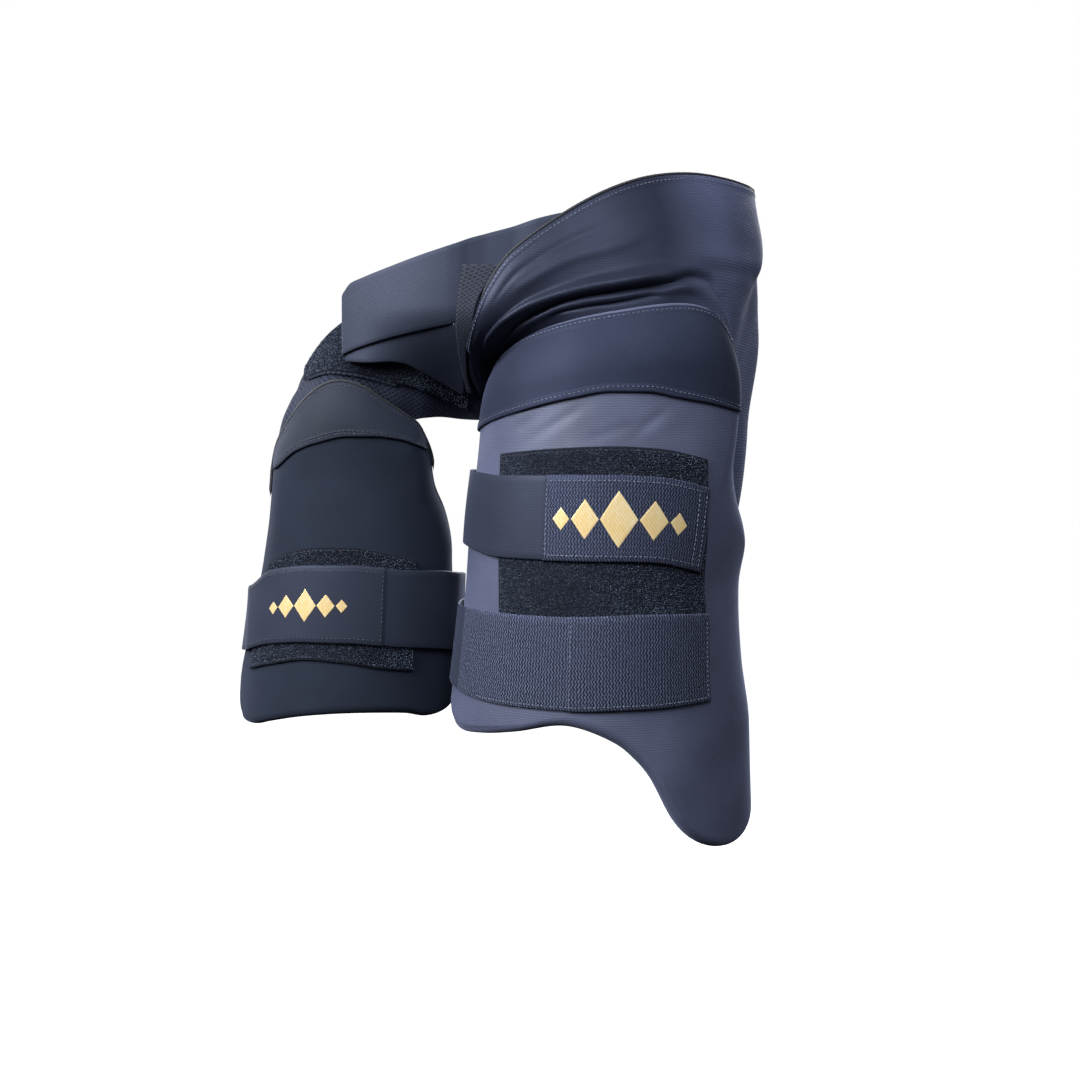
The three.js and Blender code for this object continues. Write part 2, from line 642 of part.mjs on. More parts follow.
// Its free lower edge: angle, and the drops of both edges; then the same behind the outer pad
const yokeFreeRows = [
  [-24, 0.722, 0.260],
  [-20, 0.711, 0.310],
  [-15, 0.721, 0.410],
  [-11.5, 0.726, 0.560],
];
const yokePadRows = [
  [-94, 0.726, 0.600],
  [-87, 0.726, 0.610],
  [-80, 0.726, 0.620],
];
const onWaist = (angle, z) => ({ angle, z, point: waist(angle, z, 0) });
function yokeStations() {
  const side = {
    low: onWaist(yokeSideRow.angle, waistZ(yokeSideRow.lowDrop)),
    high: onWaist(yokeSideRow.angle, waistZ(yokeSideRow.highDrop)),
  };
  const arch = yokeArchRows.map(([bearing, tuck, sink, angle, drop]) => {
    const point = innerPad.seamPoint(bearing, meshThickness, tuck, sink);
    const sine = Math.max(-1, point.x / waistSide(point.z));
    return { low: { angle: Math.asin(sine) / degree, z: point.z, point }, high: onWaist(angle, waistZ(drop)) };
  });
  const free = yokeFreeRows.map(([angle, lowDrop, highDrop]) => {
    return { low: onWaist(angle, waistZ(lowDrop)), high: onWaist(angle, waistZ(highDrop)) };
  });
  const underPad = -(meshThickness + sewnGap);
  const padded = yokePadRows.map(([angle, lowDrop, highDrop], i) => {
    const waistAngle = yokeFreeRows[yokeFreeRows.length - 1][0] + 1 + i;
    const end = (drop) => ({
      angle: waistAngle, z: waistZ(drop), point: outerThigh(angle, waistZ(drop), underPad),
    });
    return { low: end(lowDrop), high: end(highDrop) };
  });
  return [side, ...arch, ...free, ...padded];
}
const stations = yokeStations();
const yokeCurve = (edge) => curveThrough(stations.map((station) => station[edge].point));
const yokePlace = (edge) => curveThrough(stations.map((station) => {
  return new THREE.Vector3(station[edge].angle, station[edge].z, 0);
}));
const yokeLow = yokeCurve("low");
const yokeHigh = yokeCurve("high");
const yokeLowPlace = yokePlace("low");
const yokeHighPlace = yokePlace("high");

function yokePoint(along, up) {
  const [low, high] = [yokeLowPlace.getPoint(along), yokeHighPlace.getPoint(along)];
  const point = waist(mix(low.x, high.x, up), mix(low.y, high.y, up), 0);
  const lowMiss = yokeLow.getPoint(along).sub(waist(low.x, low.y, 0));
  const highMiss = yokeHigh.getPoint(along).sub(waist(high.x, high.y, 0));
  return point.addScaledVector(lowMiss, 1 - up).addScaledVector(highMiss, up);
}

function waistMesh() {
  return clothSolid(surfaceGrid(36, 5, yokePoint), meshThickness);
}

// The loop band on the yoke: rows count the yoke's stations, edges are drops on the waist
const loopBandRows = table("row low high", [
  [2.1, 0.499, 0.440],
    [3, 0.484, 0.326],
  [4, 0.470, 0.237],
  [5, 0.467, 0.195],
  [6, 0.472, 0.185],
  [7, 0.496, 0.185],
  [8, 0.526, 0.200],
  [9, 0.544, 0.235],
  [10, 0.567, 0.280],
  [11, 0.600, 0.330],
  [12, 0.645, 0.430],
  [12.4, 0.665, 0.480],
]);
function waistLoopBand() {
  const lastStation = stations.length - 1;
  const grid = surfaceGrid(28, 4, (share, up) => {
    const row = mix(loopBandRows.first, loopBandRows.last, share);
    const z = waistZ(mix(loopBandRows.low(row), loopBandRows.high(row), up));
    const low = yokeLowPlace.getPoint(row / lastStation).y;
    const high = yokeHighPlace.getPoint(row / lastStation).y;
    return yokePoint(row / lastStation, (z - low) / (high - low));
  });
  const raised = grid.map((column, i) => column.map((point, j) => {
    return point.clone().addScaledVector(gridNormal(grid, i, j), meshThickness + sewnGap);
  }));
  return clothSolid(raised, loopThickness);
}

// The wide waist elastic: a front layer, folded under at its left end
const beltFront = table("angle low high lowLift highLift", [
  [-44, 0.383, 0.057, 10.0, 10.0],
  [-41.3, 0.364, 0.002, 10.0, 10.0],
  [-37.9, 0.344, -0.020, 10.0, 10.0],
  [-30.3, 0.302, -0.068, 10.0, 10.0],
  [-23.3, 0.269, -0.116, 10.0, 10.0],
  [-17, 0.242, -0.160, 9.0, 9.4],
  [-14.5, 0.232, -0.180, 7.6, 8.2],
  [-12, 0.220, -0.205, 4.6, 5.6],
  [-8, 0.200, -0.232, 2.2, 3.6],
  [-3, 0.165, -0.262, 1.8, 3.8],
  [3, 0.122, -0.305, 5.0, 7.4],
  [10, 0.074, -0.345, 8.6, 8.7],
]);
const beltUnder = table("angle low high", [
  [-44, 0.420, 0.105],
  [-36.7, 0.432, 0.100],
  [-31.1, 0.427, 0.115],
  [-27.7, 0.436, 0.130],
  [-24.4, 0.470, 0.150],
  [-19.7, 0.524, 0.200],
  [-14.2, 0.590, 0.265],
]);
const beltUnderLift = 7.4;
const foldSteps = 4;
function waistStrap() {
  const line = (angle, low, high, lowLift, highLift) => Array.from({ length: 4 }, (_, j) => {
    const up = j / 3;
    return waist(angle, mix(waistZ(low), waistZ(high), up), mix(lowLift, highLift, up));
  });
  const underSteps = 12;
  const frontSteps = 20;
  const columns = [];
  for (let i = 0; i <= underSteps; i += 1) {
    const angle = mix(beltUnder.last, beltUnder.first, i / underSteps);
    columns.push(line(angle, beltUnder.low(angle), beltUnder.high(angle), beltUnderLift, beltUnderLift));
  }
  const foldLift = beltFront.lowLift(beltFront.first);
  const foldRadius = (foldLift - beltUnderLift) / 2;
  for (let i = 1; i < foldSteps; i += 1) {
    const turn = (i / foldSteps) * Math.PI;
    const lift = (foldLift + beltUnderLift) / 2 - foldRadius * Math.cos(turn);
    const angle = beltFront.first - (foldRadius * Math.sin(turn)) / (waistHalfWidth * degree);
    const low = mix(beltUnder.low(angle), beltFront.low(angle), i / foldSteps);
    const high = mix(beltUnder.high(angle), beltFront.high(angle), i / foldSteps);
    columns.push(line(angle, low, high, lift, lift));
  }
  for (let i = 0; i <= frontSteps; i += 1) {
    const angle = mix(beltFront.first, beltFront.last, i / frontSteps);
    columns.push(line(angle, beltFront.low(angle), beltFront.high(angle),
      beltFront.lowLift(angle), beltFront.highLift(angle)));
  }
  return clothSolid(columns, strapThickness, true);
}

// The plain elastic round the back, from the hip panel's rear edge to the yoke's left end
const backBandWidth = 57;
const backBandRoute = table("angle drop lift", [
  [100, -0.415, -9],
  [104, -0.412, -6.8],
  [110, -0.405, -3.6],
  [130, -0.330, 0],
  [180, -0.060, 0],
  [200, 0.060, 0],
  [225, 0.240, 0],
  [245, 0.450, 0],
  [262, 0.670, 0],
  [272, 0.745, -1.6],
  [280, 0.752, -2.5],
  [285, 0.752, -2.5],
]);
function waistBackBand() {
  return clothSolid(surfaceGrid(30, 2, (along, up) => {
    const angle = mix(backBandRoute.first, backBandRoute.last, along);
    const z = waistZ(backBandRoute.drop(angle)) + (up - 0.5) * backBandWidth;
    return waist(angle, z, backBandRoute.lift(angle));
  }), strapThickness);
}

const outerCapRows = [
  [0.00, -80, 0.222],
  [0.08, -71.7, 0.214],
  [0.28, -42.2, 0.191],
  [0.46, -16.6, 0.170],
  [0.59, 0.6, 0.159],
  [0.67, 10.7, 0.159],
  [0.76, 21.2, 0.168],
  [0.86, 33.5, 0.177],
  [0.96, 46.8, 0.187],
  [1.00, 53, 0.188],
];
const innerCapRows = [
  [0.00, -40, 0.250],
  [0.07, -35, 0.244],
  [0.24, -22.7, 0.199],
  [0.42, -9.3, 0.172],
  [0.58, 2.8, 0.158],
  [0.73, 14.2, 0.158],
  [0.87, 26.3, 0.166],
  [0.97, 39.3, 0.187],
  [1.00, 43, 0.192],
];
const outerPatchRows = [
  [0.00, -48.9, 0.267, -43.4, 0.561],
  [0.35, -20, 0.259, -14, 0.561],
  [0.60, 0.7, 0.256, 7, 0.561],
  [0.78, 15.4, 0.260, 22, 0.561],
  [1.00, 32.8, 0.277, 40.4, 0.560],
];
const innerPatchRows = [
  [0.00, -37.3, 0.521, -50.3, 0.831],
  [0.14, -27.2, 0.490, -36, 0.808],
  [0.40, -8.7, 0.470, -13.1, 0.785],
  [0.56, 3.2, 0.470, 3, 0.792],
  [0.79, 20.4, 0.488, 20, 0.812],
  [1.00, 35.2, 0.514, 35.6, 0.826],
];

const finish = (color, roughness, metalness = 0) => new THREE.MeshStandardMaterial({ color, roughness, metalness });
const padCloth = finish("#3a3c4e", 0.75);
const innerCloth = finish("#2b2f3d", 0.8);
const shinyKnit = finish("#23252f", 0.4);
const loopPile = finish("#0f1013", 0.95);
const elastic = finish("#22242a", 0.7);
const airMesh = finish("#1d2027", 0.85);

const guard = new THREE.Group();
function addPiece(name, geometry, material) {
  const piece = new THREE.Mesh(geometry, material);
  piece.name = name;
  guard.add(piece);
}

addPiece("outer_pad", outerPad.solid(58, 10), padCloth);
addPiece("outer_cap_band", archSkin(outerPad, outerZ, outerCapRows, [-61.5, 36.5], 20, 7), shinyKnit);
addPiece("outer_loop_patch", loopPatch(outerPad, outerZ, outerPatchRows, 12, 7), loopPile);
addPiece("outer_upper_strap", thighStrap({ ...outerStrap, rows: outerUpperRoute }, 52, 1), elastic);
addPiece("outer_lower_strap", thighStrap({ ...outerStrap, rows: outerLowerRoute }, 52, 1), elastic);
addPiece("inner_pad", innerPad.solid(44, 7), innerCloth);
addPiece("inner_top_panel", archSkin(innerPad, innerZ, innerCapRows, [-45.5, 37.5], 14, 6), innerCloth);
addPiece("inner_loop_patch", loopPatch(innerPad, innerZ, innerPatchRows, 10, 6), loopPile);
addPiece("inner_strap", thighStrap({
  form: innerThigh, zAt: innerZ, width: innerStrapWidth, padThickness: innerPadThickness, rows: innerStrapRoute,
}, 54, 1), elastic);
addPiece("hip_panel", hipPanel(), shinyKnit);
addPiece("hip_lining", hipLining(), airMesh);
addPiece("hip_binding", hipBinding(), loopPile);
addPiece("waist_mesh", waistMesh(), airMesh);
addPiece("waist_loop_band", waistLoopBand(), loopPile);
addPiece("waist_strap", waistStrap(), elastic);
addPiece("waist_back_band", waistBackBand(), elastic);

export default guard;
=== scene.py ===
"""Looks of a cricket thigh guard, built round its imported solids.

Lengths in the forms are millimetres; the meshes that they make are in metres. The front faces -Y,
+X is the wearer's left, and angles on a body form are degrees from the front towards +X.
"""
import math

import bpy
import numpy as np
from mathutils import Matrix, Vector


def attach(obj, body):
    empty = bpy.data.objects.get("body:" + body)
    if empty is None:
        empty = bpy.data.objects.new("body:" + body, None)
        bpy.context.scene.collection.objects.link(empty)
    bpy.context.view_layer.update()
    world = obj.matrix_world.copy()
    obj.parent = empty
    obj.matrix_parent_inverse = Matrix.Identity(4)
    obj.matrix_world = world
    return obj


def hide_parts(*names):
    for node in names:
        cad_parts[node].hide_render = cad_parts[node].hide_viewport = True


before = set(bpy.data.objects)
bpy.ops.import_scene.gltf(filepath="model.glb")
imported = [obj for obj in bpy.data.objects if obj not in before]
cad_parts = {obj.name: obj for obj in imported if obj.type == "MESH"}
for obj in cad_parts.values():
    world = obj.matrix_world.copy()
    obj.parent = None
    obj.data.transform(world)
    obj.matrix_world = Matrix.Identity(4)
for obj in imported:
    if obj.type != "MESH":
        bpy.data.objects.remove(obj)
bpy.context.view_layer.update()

# FORMS
# Body form inside the guard, as half-widths and depths of its ellipses
WAIST_HALF_WIDTH = 190
WAIST_DEPTH = 112
WAIST_HEIGHT = 135
CROTCH_RECESS = 60
OUTER_THIGH_HALF_WIDTH = 100
OUTER_THIGH_DEPTH = 92
OUTER_THIGH_X = 60
OUTER_THIGH_Y = -40
INNER_THIGH_HALF_WIDTH = 80
INNER_THIGH_DEPTH = 76
INNER_THIGH_Y = 8
INNER_THIGH_SPLAY = 10
LEG_GAP = 14

# Pads
OUTER_PAD_TOP = -20
OUTER_PAD_HEIGHT = 405
OUTER_PAD_THICKNESS = 18
INNER_PAD_TOP = -70
INNER_PAD_HEIGHT = 274
INNER_PAD_THICKNESS = 16
EDGE_RUN_PER_RISE = 3.3

# Cloth and elastic
PANEL_THICKNESS = 1.2
SKIN_THICKNESS = 1.1
LOOP_THICKNESS = 1.5
MESH_THICKNESS = 1.2
STRAP_THICKNESS = 1.5
OUTER_STRAP_WIDTH = 60
INNER_STRAP_WIDTH = 58
STRAP_STAND_OFF = 9
BINDING_RADIUS = 1.3
TUCK_DEPTH = 6
SEAM_GAP = 0.8
SEWN_GAP = 1

INNER_THIGH_X = (OUTER_THIGH_X - OUTER_THIGH_HALF_WIDTH - LEG_GAP - INNER_THIGH_HALF_WIDTH
                 - STRAP_STAND_OFF)
MM = 0.001


def mix(a, b, share):
    return a + (b - a) * share


def ease(value):
    value = np.clip(value, 0, 1)
    return value * value * (3 - 2 * value)


def bump(distance, half_width):
    """1 at distance 0, falling to almost nothing two half-widths away."""
    return np.exp(-(distance / half_width) ** 2)


def unit(vectors):
    return vectors / np.maximum(np.linalg.norm(vectors, axis=-1, keepdims=True), 1e-12)


def smooth_line(xs, ys):
    """A smooth line through points whose x rises, which never overshoots them."""
    xs = np.array(xs, float)
    ys = np.array(ys, float)
    slopes = np.diff(ys) / np.diff(xs)
    tangents = np.zeros(len(xs))
    tangents[0], tangents[-1] = slopes[0], slopes[-1]
    before, after = slopes[:-1], slopes[1:]
    turning = before * after <= 0
    total = np.where(turning, 1, before + after)
    tangents[1:-1] = np.where(turning, 0, 2 * before * after / total)

    def line(x):
        x = np.clip(np.asarray(x, float), xs[0], xs[-1])
        i = np.clip(np.searchsorted(xs, x, side="right") - 1, 0, len(xs) - 2)
        span = xs[i + 1] - xs[i]
        s = (x - xs[i]) / span
        swing = (1 - s) * tangents[i] - s * tangents[i + 1]
        return mix(ys[i], ys[i + 1], s * s * (3 - 2 * s)) + span * s * (1 - s) * swing
    return line


class Table:
    """Named columns, each a smooth line over the first one."""

    def __init__(self, names, rows):
        self.first = rows[0][0]
        self.last = rows[-1][0]
        keys = [row[0] for row in rows]
        for place, name in enumerate(names.split()[1:], start=1):
            setattr(self, name, smooth_line(keys, [row[place] for row in rows]))


class Curve:
    """A centripetal Catmull-Rom curve, read at the number of a point and the share to the next."""

    def __init__(self, points, closed=False):
        points = np.array(points, float)
        self.closed = closed
        self.count = len(points)
        if closed:
            self.points = np.vstack([points[-1:], points, points[:2]])
        else:
            start = 2 * points[:1] - points[1:2]
            end = 2 * points[-1:] - points[-2:-1]
            self.points = np.vstack([start, points, end])

    def at(self, row):
        last = self.count if self.closed else self.count - 1
        row = np.clip(np.asarray(row, float), 0, last)
        i = np.minimum(row.astype(int), last - 1)
        s = (row - i)[..., None]
        p0, p1, p2, p3 = (self.points[i + k] for k in range(4))
        legs = (p1 - p0, p2 - p1, p3 - p2)
        chords = [np.sum(leg ** 2, axis=-1, keepdims=True) ** 0.25 for leg in legs]
        d0, d1, d2 = (np.maximum(chord, 1e-6) for chord in chords)
        t1 = ((p1 - p0) / d0 - (p2 - p0) / (d0 + d1) + (p2 - p1) / d1) * d1
        t2 = ((p2 - p1) / d1 - (p3 - p1) / (d1 + d2) + (p3 - p2) / d2) * d1
        cubic = 2 * p1 - 2 * p2 + t1 + t2
        square = -3 * p1 + 3 * p2 - 2 * t1 - t2
        return ((cubic * s + square) * s + t1) * s + p1


def ellipse_point(centre_x, centre_y, half_width, depth, angle, z):
    turn = np.radians(angle)
    x = centre_x + half_width * np.sin(turn)
    y = centre_y - depth * np.cos(turn)
    return np.stack(np.broadcast_arrays(x, y, np.asarray(z, float)), axis=-1)


# Outer thigh: rows down the pad, half-widths as shares of its half-width
OUTER_THIGH_SHAPE = Table("drop inward outward", [
    (0.00, 0.80, 1.18),
    (0.21, 0.82, 1.13),
    (0.39, 0.90, 1.02),
    (0.52, 0.94, 0.91),
    (0.66, 1.01, 0.94),
    (0.79, 1.07, 1.01),
    (1.00, 1.07, 1.04),
])
THIGH_BACK_SHARE = 0.96


def outer_z(drop):
    return OUTER_PAD_TOP - drop * OUTER_PAD_HEIGHT


def outer_thigh(angle, z, lift):
    drop = (OUTER_PAD_TOP - z) / OUTER_PAD_HEIGHT
    turn = np.radians(angle)
    side = np.where(np.sin(turn) < 0, OUTER_THIGH_SHAPE.inward(drop), OUTER_THIGH_SHAPE.outward(drop))
    ahead = np.where(np.cos(turn) > 0, 1, THIGH_BACK_SHARE)
    half_width = side * OUTER_THIGH_HALF_WIDTH + lift
    return ellipse_point(OUTER_THIGH_X, OUTER_THIGH_Y, half_width, ahead * OUTER_THIGH_DEPTH + lift, angle, z)


# Inner thigh: sideways drift as a share of its splay, front depth as a share of its depth
INNER_THIGH_SHAPE = Table("drop splay front", [
    (0.00, 0.3, 1.12),
    (0.15, 0.3, 1.05),
    (0.29, 0.2, 1.00),
    (0.47, 0.1, 1.00),
    (0.84, -0.4, 1.00),
    (1.00, -0.7, 1.00),
])


def inner_z(drop):
    return INNER_PAD_TOP - drop * INNER_PAD_HEIGHT


def inner_thigh(angle, z, lift):
    drop = (INNER_PAD_TOP - z) / INNER_PAD_HEIGHT
    centre_x = INNER_THIGH_X + INNER_THIGH_SHAPE.splay(drop) * INNER_THIGH_SPLAY
    front = INNER_THIGH_SHAPE.front(drop) * INNER_THIGH_DEPTH
    ahead = np.where(np.cos(np.radians(angle)) > 0, front, INNER_THIGH_HALF_WIDTH)
    return ellipse_point(centre_x, INNER_THIGH_Y, INNER_THIGH_HALF_WIDTH + lift, ahead + lift, angle, z)


# Waist: rows down from the waist's centre, the wearer's right side swells over the hip
WAIST_SHAPE = Table("drop side front", [
    (-0.44, 0.980, 1.000),
    (0.00, 0.990, 1.000),
    (0.51, 0.995, 0.990),
    (0.61, 1.030, 0.965),
    (0.74, 1.070, 0.875),
    (1.00, 1.105, 0.715),
])


# The recess at the crotch. Across the waist, as shares of its half-width: where it starts and over
# how much it deepens, then where it ends and over how much it fades. The same downwards, as drops.
RECESS_START, RECESS_START_FADE = -0.684, 0.42
RECESS_END, RECESS_END_FADE = -0.105, 0.158
RECESS_DROP, RECESS_DROP_FADE = 0.15, 0.59


def waist_z(drop):
    return -drop * WAIST_HEIGHT


def waist_side(z):
    return WAIST_SHAPE.side(-z / WAIST_HEIGHT) * WAIST_HALF_WIDTH


def waist(angle, z, lift):
    turn = np.radians(angle)
    side = np.where(np.sin(turn) < 0, waist_side(z), WAIST_HALF_WIDTH)
    in_front = np.cos(turn) > 0
    ahead = np.where(in_front, WAIST_SHAPE.front(-z / WAIST_HEIGHT) * WAIST_DEPTH, WAIST_DEPTH)
    points = ellipse_point(0, 0, side + lift, ahead + lift, angle, z)
    across = points[..., 0] / WAIST_HALF_WIDTH
    sideways = ease((across - RECESS_START) / RECESS_START_FADE)
    sideways = sideways * (1 - ease((across - RECESS_END) / RECESS_END_FADE))
    recess = CROTCH_RECESS * sideways * ease((-z / WAIST_HEIGHT - RECESS_DROP) / RECESS_DROP_FADE)
    points[..., 1] += np.where(in_front, recess, 0)
    return points


class Pad:
    """A padded shell on a body form. Its rim is a closed table of angle, drop and edge thickness;
    bearings about its centre are degrees clockwise from up."""

    def __init__(self, form, z_at, centre_angle, centre_drop, mm_per_degree, thickness, rim):
        self.form = form
        self.z_at = z_at
        self.thickness = thickness
        self.mm_per_degree = mm_per_degree
        self.centre = (centre_angle * mm_per_degree, z_at(centre_drop))
        points = [(angle * mm_per_degree, z_at(drop), edge * thickness) for angle, drop, edge in rim]
        steps = np.arange(0, len(rim), 1 / 12)
        outline = Curve(points, closed=True).at(steps)
        bearing, radius = self.polar(outline[:, 0], outline[:, 1])
        order = np.argsort(bearing)
        self.rim_bearing = bearing[order]
        self.rim_radius = radius[order]
        self.rim_edge = outline[order, 2]

    def polar(self, across, z):
        right, up = across - self.centre[0], z - self.centre[1]
        return np.degrees(np.arctan2(right, up)), np.hypot(right, up)

    def rim_at(self, bearing):
        radius = np.interp(bearing, self.rim_bearing, self.rim_radius, period=360)
        return radius, np.interp(bearing, self.rim_bearing, self.rim_edge, period=360)

    def front_height(self, inset, edge):
        """Height of the front face over the body, a distance in from the rim."""
        round_off = np.clip(inset / (edge / 2), 0, 1)
        rise = self.thickness - edge
        run = np.maximum(rise * EDGE_RUN_PER_RISE, 1e-6)
        slope = np.where(rise > 0, np.clip((inset - edge / 2) / run, 0, 1), 1)
        return (edge / 2) * (1 + np.sqrt(1 - (1 - round_off) ** 2)) + rise * (1 - (1 - slope) ** 2)

    def front(self, angle, z):
        bearing, radius = self.polar(np.asarray(angle) * self.mm_per_degree, np.asarray(z))
        rim_radius, edge = self.rim_at(bearing)
        return self.front_height(rim_radius - radius, edge)

    def place(self, bearing, inset):
        """Angle and height of a place by its bearing, a distance in from the rim."""
        radius = self.rim_at(bearing)[0] - inset
        across = self.centre[0] + radius * np.sin(np.radians(bearing))
        return across / self.mm_per_degree, self.centre[1] + radius * np.cos(np.radians(bearing))

    def seam_point(self, bearing, thickness, tuck, sink):
        """Where cloth is sewn on: beside the rim, or with tuck and sink at 1 behind the pad."""
        angle, z = self.place(bearing, 0)
        angle_before, z_before = self.place(bearing - 1, 0)
        angle_after, z_after = self.place(bearing + 1, 0)
        run = (angle_after - angle_before) * self.mm_per_degree
        rise = z_after - z_before
        out = mix(SEAM_GAP, -TUCK_DEPTH, tuck) / np.hypot(run, rise)
        beside = (self.rim_at(bearing)[1] - thickness) / 2
        lift = mix(beside, -(thickness + SEWN_GAP), sink)
        return self.form(angle - rise * out / self.mm_per_degree, z + run * out, lift)

    def on_front(self, angle, z, over=0.0):
        return self.form(angle, z, self.front(angle, z) + SEAM_GAP + over)


outer_pad = Pad(outer_thigh, outer_z, 15, 0.444, 1.9, OUTER_PAD_THICKNESS, [
    (-84, 0.156, 0.46),
    (-77.7, 0.104, 0.32),
    (-55.5, 0.067, 0.30),
    (-39.5, 0.047, 0.28),
    (-18.5, 0.030, 0.28),
    (1, 0.017, 0.28),
    (15, 0.005, 0.28),
    (25, 0.000, 0.28),
    (33, 0.002, 0.28),
    (41, 0.015, 0.28),
    (47, 0.044, 0.28),
    (52, 0.081, 0.28),
    (54.6, 0.121, 0.28),
    (56, 0.180, 0.28),
    (58, 0.282, 0.30),
    (64, 0.334, 0.34),
    (76, 0.390, 0.42),
    (90, 0.457, 0.55),
    (96, 0.544, 0.65),
    (97, 0.692, 0.75),
    (96, 0.815, 0.85),
    (92, 0.902, 0.95),
    (84, 0.959, 1.00),
    (72, 0.988, 1.00),
    (57, 1.000, 1.00),
    (43, 0.990, 1.00),
    (33, 0.966, 1.00),
    (26, 0.931, 1.00),
    (21, 0.889, 1.00),
    (16, 0.847, 1.00),
    (10, 0.812, 1.00),
    (2, 0.780, 1.00),
    (-15, 0.751, 1.00),
    (-35, 0.770, 1.00),
    (-52, 0.785, 0.95),
    (-70, 0.792, 0.88),
    (-82, 0.770, 0.80),
    (-86, 0.692, 0.70),
    (-86, 0.444, 0.65),
    (-86, 0.215, 0.58),
])
inner_pad = Pad(inner_thigh, inner_z, 3, 0.51, 1.6, INNER_PAD_THICKNESS, [
    (0, 0.002, 0.30),
    (10, 0.018, 0.30),
    (21, 0.055, 0.30),
    (33, 0.095, 0.32),
    (39.5, 0.117, 0.34),
    (43, 0.145, 0.36),
    (48, 0.200, 0.40),
    (52, 0.292, 0.45),
    (60, 0.365, 0.50),
    (67, 0.456, 0.50),
    (69, 0.547, 0.50),
    (76, 0.784, 0.55),
    (78, 0.905, 0.65),
    (74, 0.948, 0.80),
    (64, 0.970, 0.95),
    (49, 0.975, 1.00),
    (35, 0.956, 1.00),
    (7, 0.945, 1.00),
    (-17, 0.956, 1.00),
    (-39, 0.983, 1.00),
    (-51, 1.000, 1.00),
    (-68, 1.000, 0.90),
    (-82, 0.965, 0.70),
    (-74, 0.854, 0.55),
    (-63, 0.697, 0.50),
    (-54, 0.511, 0.50),
    (-48.6, 0.394, 0.48),
    (-46, 0.292, 0.45),
    (-45, 0.240, 0.42),
    (-41, 0.172, 0.36),
    (-29.5, 0.099, 0.32),
    (-19, 0.044, 0.30),
    (-8.5, 0.009, 0.30),
])

# SKINS AND PATCHES
# Lower edges of the arched skins: share across, angle, drop
OUTER_CAP_LOWER = Table("share angle drop", [
    (0.00, -80, 0.222),
    (0.08, -71.7, 0.214),
    (0.28, -42.2, 0.191),
    (0.46, -16.6, 0.170),
    (0.59, 0.6, 0.159),
    (0.67, 10.7, 0.159),
    (0.76, 21.2, 0.168),
    (0.86, 33.5, 0.177),
    (0.96, 46.8, 0.187),
    (1.00, 53, 0.188),
])
INNER_CAP_LOWER = Table("share angle drop", [
    (0.00, -40, 0.250),
    (0.07, -35, 0.244),
    (0.24, -22.7, 0.199),
    (0.42, -9.3, 0.172),
    (0.58, 2.8, 0.158),
    (0.73, 14.2, 0.158),
    (0.87, 26.3, 0.166),
    (0.97, 39.3, 0.187),
    (1.00, 43, 0.192),
])
OUTER_CAP_BEARINGS = (-61.5, 36.5)
INNER_CAP_BEARINGS = (-45.5, 37.5)
SKIN_INSET = 3.2
# Edges of the loop patches: share across, angle and drop of the top edge, then of the low edge
OUTER_PATCH_EDGES = Table("share top_angle top_drop low_angle low_drop", [
    (0.00, -48.9, 0.267, -43.4, 0.561),
    (0.35, -20, 0.259, -14, 0.561),
    (0.60, 0.7, 0.256, 7, 0.561),
    (0.78, 15.4, 0.260, 22, 0.561),
    (1.00, 32.8, 0.277, 40.4, 0.560),
])
INNER_PATCH_EDGES = Table("share top_angle top_drop low_angle low_drop", [
    (0.00, -37.3, 0.521, -50.3, 0.831),
    (0.14, -27.2, 0.490, -36, 0.808),
    (0.40, -8.7, 0.470, -13.1, 0.785),
    (0.56, 3.2, 0.470, 3, 0.792),
    (0.79, 20.4, 0.488, 20, 0.812),
    (1.00, 35.2, 0.514, 35.6, 0.826),
])


def arch_skin(pad, lower, bearings):
    def surface(across, up, over=0.0):
        top_angle, top_z = pad.place(mix(bearings[0], bearings[1], across), SKIN_INSET)
        angle = mix(lower.angle(across), top_angle, up)
        return pad.on_front(angle, mix(pad.z_at(lower.drop(across)), top_z, up), over)
    return surface


def loop_patch(pad, edges):
    def surface(across, up, over=0.0):
        angle = mix(edges.low_angle(across), edges.top_angle(across), up)
        z = mix(pad.z_at(edges.low_drop(across)), pad.z_at(edges.top_drop(across)), up)
        return pad.on_front(angle, z, over)
    return surface


# STRAPS
# over and low_over are shares of the height over the loop patch, for a strap's top and bottom
# edges; inside is how far it lies against the inner face of the pad
STRAP_COLUMNS = "angle drop width over low_over inside"
OUTER_UPPER_ROUTE = Table(STRAP_COLUMNS, [
    (-310, 0.372, 0.92, 0.00, 0.00, 1),
    (-248, 0.376, 0.92, 0.00, 0.00, 1),
    (-225, 0.378, 0.92, 0.03, 0.03, 0),
    (-140, 0.374, 0.92, 0.06, 0.06, 0),
    (-104, 0.366, 0.92, 0.12, 0.12, 0),
    (-97, 0.364, 0.92, 0.26, 0.26, 0),
    (-91, 0.363, 0.92, 0.56, 0.56, 0),
    (-84, 0.362, 0.92, 0.82, 0.82, 0),
    (-76, 0.365, 0.93, 0.95, 0.95, 0),
    (-60, 0.372, 0.95, 0.96, 0.96, 0),
    (-46, 0.378, 0.97, 1.00, 1.00, 0),
    (0, 0.379, 0.98, 1.00, 1.00, 0),
    (15, 0.382, 0.97, 1.00, 1.00, 0),
    (34.5, 0.402, 0.97, 1.00, 1.00, 0),
])
